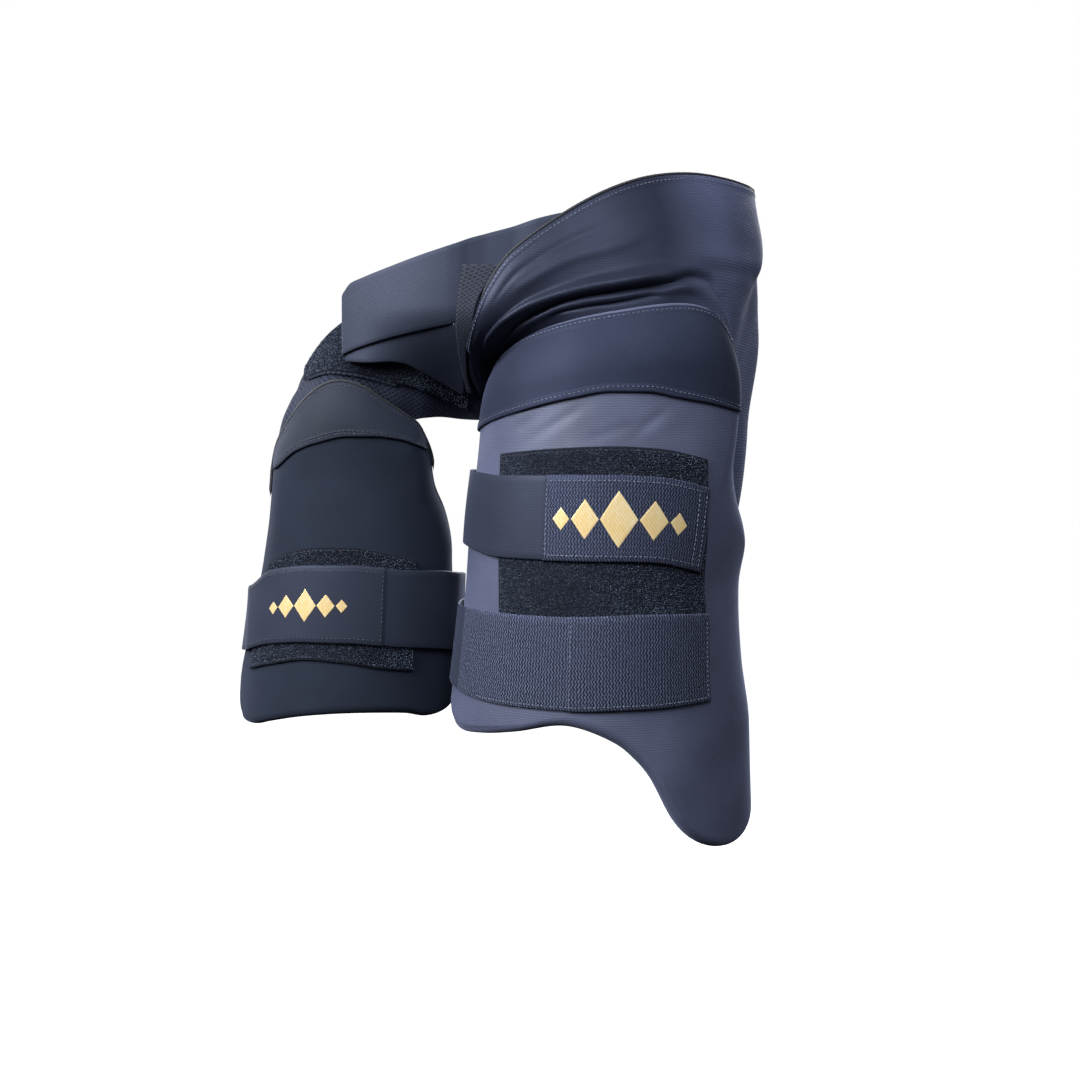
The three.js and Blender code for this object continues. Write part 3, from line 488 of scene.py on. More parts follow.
OUTER_LOWER_ROUTE = Table(STRAP_COLUMNS, [
    (-282, 0.632, 0.98, 0.00, 0.00, 1),
    (-262, 0.632, 0.98, 0.00, 0.00, 1),
    (-240, 0.632, 0.98, 0.03, 0.03, 0),
    (-140, 0.628, 0.98, 0.06, 0.06, 0),
    (-104, 0.625, 0.98, 0.12, 0.12, 0),
    (-97, 0.624, 0.98, 0.26, 0.26, 0),
    (-91, 0.623, 0.98, 0.56, 0.56, 0),
    (-84, 0.624, 0.98, 0.80, 0.80, 0),
    (-76, 0.628, 1.00, 0.95, 0.92, 0),
    (-60, 0.634, 1.06, 0.98, 0.90, 0),
    (-40, 0.635, 1.10, 1.00, 0.90, 0),
    (-14, 0.635, 1.10, 1.00, 0.90, 0),
    (9, 0.631, 1.10, 1.00, 0.90, 0),
    (40.5, 0.632, 1.04, 1.00, 0.90, 0),
])
INNER_ROUTE = Table(STRAP_COLUMNS, [
    (-63, 0.692, 0.86, 0.54, 0.81, 0),
    (-60, 0.690, 0.86, 0.65, 0.87, 0),
    (-55, 0.686, 0.85, 0.84, 0.90, 0),
    (-49, 0.678, 0.85, 0.99, 1.00, 0),
    (-34, 0.642, 0.96, 1.00, 1.00, 0),
    (-13, 0.627, 0.99, 1.00, 1.00, 0),
    (4, 0.628, 1.00, 1.00, 1.00, 0),
    (28, 0.645, 1.01, 1.00, 1.00, 0),
    (50, 0.658, 1.05, 1.00, 1.00, 0),
    (60, 0.668, 1.06, 0.96, 0.96, 0),
    (68, 0.674, 1.06, 0.80, 0.80, 0),
    (76, 0.680, 1.06, 0.62, 0.62, 0),
    (90, 0.685, 1.06, 0.44, 0.44, 0),
    (110, 0.692, 1.06, 0.22, 0.22, 0),
    (140, 0.700, 1.04, 0.12, 0.12, 0),
    (250, 0.705, 0.98, 0.06, 0.06, 0),
    (284, 0.705, 0.94, 0.00, 0.00, 0.6),
    (294, 0.705, 0.92, 0.00, 0.00, 1),
    (312, 0.705, 0.90, 0.00, 0.00, 1),
])


def thigh_strap(pad, width, route):
    over_patch = pad.thickness + LOOP_THICKNESS + 2 * SEAM_GAP
    under_pad = -(STRAP_THICKNESS + SEWN_GAP)

    def surface(angle, up, over=0.0):
        share = mix(route.low_over(angle), route.over(angle), up)
        z = pad.z_at(route.drop(angle)) + (up - 0.5) * route.width(angle) * width
        return pad.form(angle, z, share * over_patch + route.inside(angle) * under_pad + over)
    return surface


# HIP PANEL
# From its lower left corner over the top to its rear corner: bearing on the outer pad's rim,
# tuck and sink of its seam there, angle and drop of its free edge on the waist, how far that edge
# has gone over to the thigh's form, its lift as a share, and the cloth's bulge
HIP_EDGE_LIFT = 11
HIP_ROWS = [
    (-57.0, -0.3, 0, -11.4, 0.600, 0.00, 0.55, 5),
    (-53.8, -0.25, 0, -12.6, 0.501, 0.00, 1.00, 8),
    (-50.3, -0.2, 0, -12.9, 0.387, 0.00, 1.00, 10),
    (-46.1, -0.15, 0, -12.3, 0.315, 0.00, 1.00, 9),
    (-41.2, -0.15, 0, -11.0, 0.218, 0.00, 1.00, 9),
    (-35.6, -0.1, 0, -8.6, 0.073, 0.00, 1.00, 10),
    (-30.9, 0, 0.5, -4.2, -0.099, 0.00, 1.00, 9),
    (-25.2, 0, 1, 0.3, -0.198, 0.00, 1.00, 7),
    (-16.8, 0.5, 1, 6.9, -0.314, 0.00, 1.00, 5),
    (-7.5, 1, 1, 13.8, -0.419, 0.00, 0.90, 4),
    (0, 1, 1, 20.7, -0.500, 0.00, 0.70, 4),
    (6, 1, 1, 28.4, -0.561, 0.00, 0.45, 5),
    (10.8, 1, 1, 39.9, -0.606, 0.00, 0.15, 7),
    (15.9, 1, 1, 55.5, -0.620, 0.00, -0.10, 8),
    (20.6, 1, 1, 75, -0.635, 0.00, -0.30, 9),
    (25.6, 1, 1, 90, -0.645, 0.00, -0.45, 9),
    (31.3, 1, 1, 104, -0.637, 0.00, -0.35, 10),
    (36.1, 1, 1, 106, -0.370, 0.00, -0.20, 12),
    (43.2, 0, 1, 107, -0.074, 0.15, 0.00, 12),
    (51, 0, 0.5, 107, 0.296, 0.35, 0.05, 11),
    (64.2, 0, 0, 108, 0.667, 0.60, 0.10, 9),
    (79.2, -0.15, 0, 110, 1.037, 0.85, 0.15, 6),
    (92, -0.15, 0, 112, 1.400, 1.00, 0.20, 2),
]
HIP_LAST = len(HIP_ROWS) - 1
REAR_TOP_ROW = 16
BINDER_START_ROW = 4.6

# Folds of the hip panel: height in mm, half-width as a share of the panel's width there, and the
# line they follow, as rows and shares from the pad's arch at 0 to the free edge at 1
HIP_FOLDS = [
    (6.0, 0.062, [(0.2, 0.22), (1.0, 0.25), (2.6, 0.30), (3.9, 0.36), (5.4, 0.31), (7.0, 0.285),
                  (8.5, 0.295), (9.8, 0.28), (10.7, 0.275), (12.2, 0.29), (13.2, 0.30)]),
    (-5.0, 0.030, [(1.0, 0.16), (3.6, 0.20), (4.9, 0.20), (6.5, 0.205), (7.9, 0.225), (8.9, 0.228),
                   (9.9, 0.215), (10.7, 0.21), (11.6, 0.235), (12.6, 0.24)]),
    (2.6, 0.026, [(2.2, 0.10), (4.6, 0.125), (6.3, 0.14), (7.8, 0.175), (8.9, 0.18), (9.9, 0.17),
                  (10.9, 0.15)]),
    (-1.8, 0.018, [(6.4, 0.10), (7.8, 0.13), (8.9, 0.14), (9.9, 0.135), (10.9, 0.11)]),
    (3.0, 0.04, [(10.0, 0.14), (11.2, 0.18), (11.8, 0.17), (12.8, 0.12), (14.0, 0.09), (15.2, 0.08)]),
    (-3.0, 0.035, [(10.6, 0.25), (11.6, 0.262), (12.4, 0.25), (13.2, 0.18), (14.5, 0.13)]),
    (8.0, 0.22, [(13.6, 0.66), (15.4, 0.66), (17.2, 0.66), (19.5, 0.6)]),
    (2.2, 0.10, [(10.6, 0.40), (12.0, 0.40), (13.5, 0.42), (15.5, 0.55), (17.0, 0.6)]),
    (-1.2, 0.05, [(11.2, 0.32), (12.1, 0.33), (13.0, 0.35), (14.7, 0.46), (16.2, 0.5)]),
    (-1.4, 0.05, [(0.0, 0.50), (0.8, 0.48), (1.8, 0.46), (3.2, 0.50)]),
    (1.3, 0.06, [(0.0, 0.70), (1.0, 0.68), (2.4, 0.66), (4.2, 0.70)]),
    (0.9, 0.06, [(5.0, 0.55), (6.5, 0.56), (8.0, 0.60), (9.5, 0.58), (10.8, 0.62)]),
    (-0.8, 0.05, [(4.6, 0.70), (6.2, 0.74), (8.0, 0.76), (10.0, 0.74)]),
]


def hip_curves():
    seam = [outer_pad.seam_point(row[0], PANEL_THICKNESS, row[1], row[2]) for row in HIP_ROWS]
    edge = []
    for row, sewn in zip(HIP_ROWS, seam):
        angle, drop, thigh_share, lift_share = row[3:7]
        lift = lift_share * HIP_EDGE_LIFT
        z = waist_z(drop)
        point = mix(waist(angle, z, lift), outer_thigh(angle, z, lift), thigh_share)
        edge.append(point + unit(sewn - point) * BINDING_RADIUS * 2)
    return Curve(seam), Curve(edge)


# Share of a fold's line over which it rises from flat cloth
FOLD_END = 0.3
hip_seam, hip_edge = hip_curves()
hip_bulge = smooth_line(range(HIP_LAST + 1), [row[7] for row in HIP_ROWS])


def fold_height(row, out):
    total = np.zeros(np.broadcast(row, out).shape)
    for height, half_width, line in HIP_FOLDS:
        rows, places = zip(*line)
        share = np.clip((row - rows[0]) / (rows[-1] - rows[0]), 0, 1)
        distance = out - smooth_line(rows, places)(row)
        swell = ease(share / FOLD_END) * ease((1 - share) / FOLD_END)
        total = total + height * swell * bump(distance, half_width)
    return total


def hip_point(row, out):
    point = mix(hip_seam.at(row), hip_edge.at(row), np.asarray(out, float)[..., None])
    outward_from = point - np.array([OUTER_THIGH_X / 2, OUTER_THIGH_Y / 2, 0])
    outward_from[..., 2] = 0
    raised = hip_bulge(row) * 4 * out * (1 - out) + fold_height(row, out)
    return point + unit(outward_from) * raised[..., None]


# LINING
LINING_EDGES = Table("drop angle hem_angle", [
    (-0.062, -13.2, -5.6),
    (0.122, -14.3, -10.4),
    (0.274, -14.8, -12.0),
    (0.371, -14.6, -13.3),
    (0.496, -14.0, -13.4),
    (0.583, -13.0, -12.3),
])
LINING_LIFT = 9.2
LINING_SINK_PER_DEGREE = 0.45


def lining_point(across, up):
    drop = mix(LINING_EDGES.last, LINING_EDGES.first, up)
    inwards = across * (LINING_EDGES.hem_angle(drop) - LINING_EDGES.angle(drop))
    lift = LINING_LIFT - LINING_SINK_PER_DEGREE * inwards
    return waist(LINING_EDGES.angle(drop) + inwards, waist_z(drop), lift)


# WAIST YOKE
# It runs from the wearer's right side to the outer pad; its lower edge follows the inner pad's
# arch: bearing, tuck and sink of the seam, then angle and drop of its upper edge
YOKE_SIDE_ANGLE, YOKE_SIDE_LOW, YOKE_SIDE_HIGH = -84, 0.970, 0.530
YOKE_ARCH_ROWS = [
    (-58, -0.15, 0, -74, 0.490),
    (-46, 0, 1, -68, 0.440),
    (-36, 1, 1, -58, 0.320),
    (-24, 1, 1, -50, 0.225),
    (-12, 1, 1, -45, 0.180),
    (-2, 0.7, 1, -41, 0.165),
    (8, 0.4, 1, -37, 0.165),
    (18, 0.2, 1, -32.5, 0.180),
    (26, 0.1, 1, -27.5, 0.215),
]
# Its free lower edge: angle and the drops of both edges; then the same behind the outer pad
YOKE_FREE_ROWS = [
    (-24, 0.722, 0.260),
    (-20, 0.711, 0.290),
    (-15, 0.721, 0.330),
    (-11.5, 0.726, 0.400),
]
YOKE_PAD_ROWS = [
    (-94, 0.726, 0.440),
    (-87, 0.726, 0.480),
    (-80, 0.726, 0.520),
]


def yoke_curves():
    """Curves of the yoke's low and high edge: the points, and their angles and heights."""
    low, high, low_place, high_place = [], [], [], []

    def add(points, places, angle, z, point=None):
        points.append(waist(angle, z, 0) if point is None else point)
        places.append((angle, z))

    add(low, low_place, YOKE_SIDE_ANGLE, waist_z(YOKE_SIDE_LOW))
    add(high, high_place, YOKE_SIDE_ANGLE, waist_z(YOKE_SIDE_HIGH))
    for bearing, tuck, sink, angle, drop in YOKE_ARCH_ROWS:
        point = inner_pad.seam_point(bearing, MESH_THICKNESS, tuck, sink)
        sine = max(-1.0, point[0] / waist_side(point[2]))
        add(low, low_place, math.degrees(math.asin(sine)), point[2], point)
        add(high, high_place, angle, waist_z(drop))
    for angle, low_drop, high_drop in YOKE_FREE_ROWS:
        add(low, low_place, angle, waist_z(low_drop))
        add(high, high_place, angle, waist_z(high_drop))
    under_pad = -(MESH_THICKNESS + SEWN_GAP)
    for number, (angle, low_drop, high_drop) in enumerate(YOKE_PAD_ROWS, start=1):
        waist_angle = YOKE_FREE_ROWS[-1][0] + number
        for points, places, drop in ((low, low_place, low_drop), (high, high_place, high_drop)):
            z = waist_z(drop)
            add(points, places, waist_angle, z, outer_thigh(angle, z, under_pad))
    return Curve(low), Curve(high), Curve(low_place), Curve(high_place)


yoke_low, yoke_high, yoke_low_place, yoke_high_place = yoke_curves()
YOKE_LAST = yoke_low.count - 1


# Where the yoke passes under the hip panel's lower corner it sinks this far, round this row. It is
# level at its low edge, and sunk all the way from this share up.
YOKE_SINK = 3.5
YOKE_SINK_ROW = 13.2
YOKE_SINK_ROWS = 1.1
YOKE_SINK_UP = 0.6


def yoke_point(row, up):
    up = np.asarray(up, float)
    sunk = YOKE_SINK * bump(row - YOKE_SINK_ROW, YOKE_SINK_ROWS) * ease(up / YOKE_SINK_UP)
    low, high = yoke_low_place.at(row), yoke_high_place.at(row)
    angle = mix(low[..., 0], high[..., 0], up)
    z = mix(low[..., 1], high[..., 1], up)
    low_miss = yoke_low.at(row) - waist(low[..., 0], low[..., 1], 0)
    high_miss = yoke_high.at(row) - waist(high[..., 0], high[..., 1], 0)
    return waist(angle, z, -sunk) + mix(low_miss, high_miss, up[..., None])


LOOP_BAND_EDGES = Table("row low high", [
    (2.1, 0.499, 0.440),
    (3, 0.484, 0.326),
    (4, 0.470, 0.237),
    (5, 0.467, 0.195),
    (6, 0.472, 0.185),
    (7, 0.496, 0.185),
    (8, 0.526, 0.200),
    (9, 0.544, 0.235),
    (10, 0.567, 0.280),
    (11, 0.600, 0.330),
    (12, 0.645, 0.430),
    (12.4, 0.665, 0.480),
])


def loop_band_point(row, up):
    """Middle of the yoke under the loop band, whose edges are drops on the waist."""
    z = waist_z(mix(LOOP_BAND_EDGES.low(row), LOOP_BAND_EDGES.high(row), up))
    low = yoke_low_place.at(row)[..., 1]
    high = yoke_high_place.at(row)[..., 1]
    return yoke_point(row, (z - low) / (high - low))


# WAIST ELASTIC
BELT_FRONT = Table("angle low high low_lift high_lift", [
    (-44, 0.383, 0.057, 10.0, 10.0),
    (-41.3, 0.364, 0.002, 10.0, 10.0),
    (-37.9, 0.344, -0.020, 10.0, 10.0),
    (-30.3, 0.302, -0.068, 10.0, 10.0),
    (-23.3, 0.269, -0.116, 10.0, 10.0),
    (-17, 0.242, -0.160, 9.0, 9.4),
    (-14.5, 0.232, -0.180, 7.6, 8.2),
    (-12, 0.220, -0.205, 4.6, 5.6),
    (-8, 0.200, -0.232, 2.2, 3.6),
    (-3, 0.165, -0.262, 1.8, 3.8),
    (3, 0.122, -0.305, 5.0, 7.4),
    (10, 0.074, -0.345, 8.6, 8.7),
])
BELT_UNDER = Table("angle low high", [
    (-44, 0.420, 0.105),
    (-36.7, 0.432, 0.100),
    (-31.1, 0.427, 0.115),
    (-27.7, 0.436, 0.130),
    (-24.4, 0.470, 0.150),
    (-19.7, 0.524, 0.200),
    (-14.2, 0.590, 0.265),
])
BELT_UNDER_LIFT = 7.4
BACK_BAND_WIDTH = 57
BACK_BAND_ROUTE = Table("angle drop lift", [
    (100, -0.415, -9),
    (104, -0.412, -6.8),
    (110, -0.405, -3.6),
    (130, -0.330, 0),
    (180, -0.060, 0),
    (200, 0.060, 0),
    (225, 0.240, 0),
    (245, 0.450, 0),
    (262, 0.670, 0),
    (272, 0.745, -1.6),
    (280, 0.752, -2.5),
    (285, 0.752, -2.5),
])


def belt_path(steps_per_degree):
    """Angles, edge drops and edge lifts along the folded waist strap, from its hidden end."""
    under = np.linspace(BELT_UNDER.last, BELT_UNDER.first, int(30 * steps_per_degree))
    front = np.linspace(BELT_FRONT.first, BELT_FRONT.last, int(54 * steps_per_degree))
    fold_lift = float(BELT_FRONT.low_lift(BELT_FRONT.first))
    radius = (fold_lift - BELT_UNDER_LIFT) / 2
    share = np.linspace(0, 1, 10)[1:-1]
    turn = share * math.pi
    fold = BELT_FRONT.first - radius * np.sin(turn) / (WAIST_HALF_WIDTH * math.radians(1))
    lift = (fold_lift + BELT_UNDER_LIFT) / 2 - radius * np.cos(turn)
    flat = np.full(len(under), BELT_UNDER_LIFT)
    angle = np.concatenate([under, fold, front])
    low = np.concatenate([BELT_UNDER.low(under), mix(BELT_UNDER.low(fold), BELT_FRONT.low(fold), share),
                          BELT_FRONT.low(front)])
    high = np.concatenate([BELT_UNDER.high(under), mix(BELT_UNDER.high(fold), BELT_FRONT.high(fold), share),
                           BELT_FRONT.high(front)])
    low_lift = np.concatenate([flat, lift, BELT_FRONT.low_lift(front)])
    high_lift = np.concatenate([flat, lift, BELT_FRONT.high_lift(front)])
    return angle, low, high, low_lift, high_lift


def back_band_point(angle, up):
    z = waist_z(BACK_BAND_ROUTE.drop(angle)) + (up - 0.5) * BACK_BAND_WIDTH
    return waist(angle, z, BACK_BAND_ROUTE.lift(angle))


# MESHES
def outward(grid):
    """Normals of a grid whose first axis runs towards +X in front, and whose second one runs up."""
    return unit(np.cross(np.gradient(grid, axis=0), np.gradient(grid, axis=1)))


def lattice(firsts, seconds):
    return np.meshgrid(firsts, seconds, indexing="ij")


def lengths_along(points):
    """How far each point of a line is from its first one."""
    return np.concatenate([[0], np.cumsum(np.linalg.norm(np.diff(points, axis=0), axis=1))])


def laid_flat(grid):
    """Length along the first axis and width along the second, in mm, of cloth that was cut straight."""
    along = lengths_along(grid[:, grid.shape[1] // 2])
    over = lengths_along(grid[grid.shape[0] // 2])
    return np.stack(lattice(along, over), axis=-1)


def wrapped_round(points, centre_x, centre_y, radius):
    """Cloth cut with its ribs level, laid flat from a body of that radius."""
    turn = np.arctan2(points[..., 0] - centre_x, centre_y - points[..., 1])
    return np.stack([turn * radius, points[..., 2]], axis=-1)


def quads_between(ids):
    return np.stack([ids[:-1, :-1], ids[1:, :-1], ids[1:, 1:], ids[:-1, 1:]], axis=-1).reshape(-1, 4)


def cloth_shell(inner, flat, thickness, rim_steps=4):
    """Points, flat places and faces of cloth on a grid of its inner face, with rounded edges."""
    rows, columns = inner.shape[:2]
    count = rows * columns
    outer = inner + outward(inner) * np.broadcast_to(thickness, (rows, columns))[..., None]
    ids = np.arange(count).reshape(rows, columns)
    rim = np.concatenate([ids[:-1, 0], ids[-1, :-1], ids[:0:-1, -1], ids[0, :0:-1]])
    away = np.zeros_like(inner)
    away[:, 0] += unit(inner[:, 0] - inner[:, 1])
    away[:, -1] += unit(inner[:, -1] - inner[:, -2])
    away[0] += unit(inner[0] - inner[1])
    away[-1] += unit(inner[-1] - inner[-2])
    away = unit(away.reshape(-1, 3)[rim])
    low, high = inner.reshape(-1, 3)[rim], outer.reshape(-1, 3)[rim]
    middle, half = (low + high) / 2, (high - low) / 2
    radius = np.linalg.norm(half, axis=1, keepdims=True)
    turns = np.linspace(0, math.pi, rim_steps + 1)[1:-1]
    rings = [middle + half * math.cos(turn) + away * radius * math.sin(turn) for turn in turns]
    bands = [rim + count]
    bands += [2 * count + k * len(rim) + np.arange(len(rim)) for k in range(len(rings))]
    bands.append(rim)
    loops = np.stack(bands)
    loops = np.concatenate([loops, loops[:, :1]], axis=1)
    faces = np.concatenate([quads_between(ids + count), quads_between(ids)[:, ::-1], quads_between(loops)])
    points = np.concatenate([inner.reshape(-1, 3), outer.reshape(-1, 3)] + rings)
    flat = flat.reshape(-1, 2)
    return points, np.concatenate([flat, flat] + [flat[rim]] * len(rings)), faces


def new_piece(name, points, flat, faces, material, slot):
    """A piece from points in mm, faces, and the places of its points on the cloth laid flat."""
    mesh = bpy.data.meshes.new(name)
    mesh.from_pydata(np.asarray(points) * MM, [], faces)
    corner = np.empty(len(mesh.loops), np.int32)
    mesh.loops.foreach_get("vertex_index", corner)
    layer = mesh.uv_layers.new(name="laid_flat")
    layer.data.foreach_set("uv", np.asarray(flat)[corner].ravel())
    mesh.shade_smooth()
    mesh.materials.append(material)
    piece = bpy.data.objects.new(name, mesh)
    bpy.context.scene.collection.objects.link(piece)
    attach(piece, "root")
    return piece


def sheet_area(grid):
    across = np.diff(grid, axis=0)[:, :-1]
    over = np.diff(grid, axis=1)[:-1]
    return np.linalg.norm(np.cross(across, over), axis=-1).sum() * MM * MM


def cut_cloth(name, inner, flat, thickness, material, slot, other=None):
    """Cloth that takes its node's place; the size it was cut to is worked out, but not used. other is a second
    finish, and where it starts along the cloth laid flat."""
    points, places, faces = cloth_shell(inner, flat, thickness)
    piece = new_piece(name, points, places, faces, material, slot)
    if other:
        piece.data.materials.append(other[0])
        beyond = places[faces][:, :, 0].mean(axis=1) > other[1]
        piece.data.polygons.foreach_set("material_index", beyond.astype(np.int32))
    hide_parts(name.removesuffix("_cloth"))
    middle = inner + outward(inner) * np.broadcast_to(thickness, inner.shape[:2])[..., None] / 2
    width, length = np.ptp(flat.reshape(-1, 2), axis=0) * MM
    area = sheet_area(middle)
    length = max(length, area / width)
    return piece


def placed(surface, first, second, lift=0.0):
    """Points at a height over a surface's cloth, and their normals."""
    first, second = np.broadcast_arrays(np.asarray(first, float), np.asarray(second, float))
    step = 1e-3
    point = surface(first, second)
    run = surface(first + step, second) - surface(first - step, second)
    rise = surface(first, second + step) - surface(first, second - step)
    normal = unit(np.cross(run, rise))
    return point + normal * np.broadcast_to(lift, first.shape)[..., None], normal


# SEWING
THREAD_RADIUS = 0.28
STITCH_LENGTH = 2.4
STITCH_GAP = 1.1
STITCH_SIDES = 6
STITCH_SECTIONS = [(0.0, 0.3, -0.6), (0.12, 0.8, 0.1), (0.5, 1.0, 0.45), (0.88, 0.8, 0.1), (1.0, 0.3, -0.6)]


def stitch_row(points, normals, length=STITCH_LENGTH, gap=STITCH_GAP, radius=THREAD_RADIUS):
    """One row of stitches along a line on cloth: points and faces. A section is a share of a
    stitch's length, a share of the thread's radius and a height in thread radii."""
    along = lengths_along(points)
    starts = np.arange(gap / 2, along[-1] - length, length + gap)
    shares, widths, heights = np.array(STITCH_SECTIONS).T
    places = (starts[:, None] + shares * length).ravel()
    at = np.stack([np.interp(places, along, points[:, k]) for k in range(3)], axis=-1)
    up = unit(np.stack([np.interp(places, along, normals[:, k]) for k in range(3)], axis=-1))
    slopes = np.gradient(points, axis=0)
    forward = unit(np.stack([np.interp(places, along, slopes[:, k]) for k in range(3)], axis=-1))
    side = np.cross(forward, up)
    middle = at + up * np.tile(heights, len(starts))[:, None] * radius
    turns = np.arange(STITCH_SIDES) / STITCH_SIDES * 2 * math.pi
    width = np.tile(widths, len(starts))[:, None, None] * radius
    ring = side[:, None] * np.cos(turns)[:, None] + up[:, None] * np.sin(turns)[:, None]
    made = (middle[:, None] + ring * width).reshape(-1, 3)
    ids = np.arange(len(made)).reshape(len(starts), len(shares), STITCH_SIDES)
    ids = np.concatenate([ids, ids[:, :, :1]], axis=2)
    faces = np.stack([ids[:, :-1, :-1], ids[:, :-1, 1:], ids[:, 1:, 1:], ids[:, 1:, :-1]], axis=-1)
    return made, faces.reshape(-1, 4)


def joined(parts):
    """Points and faces of many parts as one."""
    offset = 0
    points, faces = [], []
    for part_points, part_faces in parts:
        points.append(part_points)
        faces.append(part_faces + offset)
        offset += len(part_points)
    return np.concatenate(points), np.concatenate(faces)


def sew(name, rows, material, slot):
    points, faces = joined([stitch_row(*row) for row in rows])
    return new_piece(name, points, points[:, [0, 2]], faces, material, slot)


# COLOURS AND FINISHES
def srgb(code):
    """Linear colour of an sRGB hex code."""
    values = [int(code[k:k + 2], 16) / 255 for k in (1, 3, 5)]
    return tuple(v / 12.92 if v <= 0.04045 else ((v + 0.055) / 1.055) ** 2.4 for v in values) + (1.0,)


def node(tree, kind, inputs=None, **settings):
    made = tree.nodes.new("ShaderNode" + kind)
    for name, value in settings.items():
        setattr(made, name, value)
    for socket, value in (inputs or {}).items():
        if isinstance(value, bpy.types.NodeSocket):
            tree.links.new(value, made.inputs[socket])
        else:
            made.inputs[socket].default_value = value
    return made


def new_finish(name, **surface):
    """A material, its tree, its shader and the cloth laid flat in mm."""
    material = bpy.data.materials.new(name)
    material.use_nodes = True
    tree = material.node_tree
    tree.nodes.clear()
    shader = node(tree, "BsdfPrincipled", {key.replace("_", " "): value for key, value in surface.items()})
    node(tree, "OutputMaterial", {"Surface": shader.outputs["BSDF"]})
    flat = node(tree, "UVMap", uv_map="laid_flat").outputs["UV"]
    return material, tree, shader, flat


# A wave texture turns once in this share of its coordinate when its scale is 1
WAVE_TURN = math.pi / 10


def woven_tone(tree, flat, rib, wobble, direction, yarn, blotch):
    """Height of the ribs, and their tone with fuzzy yarn and blotches of uneven tone, both about 0 to 1."""
    wave = {"Vector": flat, "Scale": WAVE_TURN / rib, "Distortion": wobble, "Detail": 1.0, "Detail Scale": 1.2}
    ribs = node(tree, "TexWave", wave, bands_direction=direction).outputs["Fac"]
    fuzz = node(tree, "TexNoise", {"Vector": flat, "Scale": 1 / yarn, "Detail": 2.0}).outputs["Fac"]
    uneven = node(tree, "TexNoise", {"Vector": flat, "Scale": 1 / blotch, "Detail": 3.0}).outputs["Fac"]
    thread = node(tree, "Math", {0: ribs, 1: 0.55, 2: fuzz}, operation="MULTIPLY_ADD").outputs["Value"]
    tone = node(tree, "Math", {0: thread, 1: 0.5, 2: uneven}, operation="MULTIPLY_ADD").outputs["Value"]
    share = node(tree, "MapRange", {"Value": tone, "From Min": 0.45, "From Max": 1.35}).outputs["Result"]
    return thread, share


def ribbed_cloth(name, dark, light, rib, wobble, relief, direction="Y", yarn=1.6, blotch=45, **surface):
    """Knitted or woven cloth whose ribs, rib mm apart, run across the given direction. Its tone is uneven in
    blotches blotch mm wide, as dye on cloth and as painted reflection on the foil, and its yarn fuzzy over
    yarn mm; relief is the height of its ribs in mm."""
    material, tree, shader, flat = new_finish(name, **surface)
    thread, share = woven_tone(tree, flat, rib, wobble, direction, yarn, blotch)
    colour = node(tree, "MixRGB", {"Fac": share, "Color1": srgb(dark), "Color2": srgb(light)})
    dent = node(tree, "Bump", {"Height": thread, "Distance": relief * MM, "Strength": 0.8})
    tree.links.new(colour.outputs["Color"], shader.inputs["Base Color"])
    tree.links.new(dent.outputs["Normal"], shader.inputs["Normal"])
    return material


def outer_pad_knit():
    """Polyester warp knit stretched over foam: level ribs with a soft bluish bloom. The ribs are
    drawn 1.8 mm apart, about twice as coarse as real ones, so that they show."""
    return ribbed_cloth("warp_knit_over_foam", "#373c50", "#535974", rib=1.8, wobble=2.6, relief=0.12,
                        yarn=1.1, Roughness=0.6, Sheen_Weight=0.4, Sheen_Roughness=0.4,
                        Sheen_Tint=srgb("#aab4da"))


def inner_pad_knit():
    """Matte polyester knit, darker and duller than the outer pad's."""
    return ribbed_cloth("matte_knit_over_foam", "#141a26", "#1e2635", rib=1.9, wobble=2.4, relief=0.04,
                        yarn=1.4, Roughness=0.85, Specular_IOR_Level=0.2, Sheen_Weight=0.2,
                        Sheen_Roughness=0.5, Sheen_Tint=srgb("#8e9ac0"))


def cap_tricot():
    """Bright nylon tricot: upright wales, smooth enough to catch the light."""
    return ribbed_cloth("bright_tricot", "#1a1e2a", "#292e3e", rib=1.8, wobble=1.6, relief=0.08,
                        direction="X", Roughness=0.64, Specular_IOR_Level=0.4, Sheen_Weight=0.35,
                        Sheen_Roughness=0.35, Sheen_Tint=srgb("#a4b0d8"), Specular_Tint=srgb("#a9b6ea"))


def top_panel_knit():
    """The same tricot, dull side out: upright wales with hardly any shine."""
    return ribbed_cloth("dull_tricot", "#161b27", "#212838", rib=1.8, wobble=1.6, relief=0.05, direction="X",
                        Roughness=0.75, Specular_IOR_Level=0.3, Sheen_Weight=0.3, Sheen_Roughness=0.5,
                        Sheen_Tint=srgb("#8e9ac0"))


# The hip panel's cloth is ribbed knit from this place on it laid flat, and turns into it over this length
WING_START = 110
WING_BLEND = 50


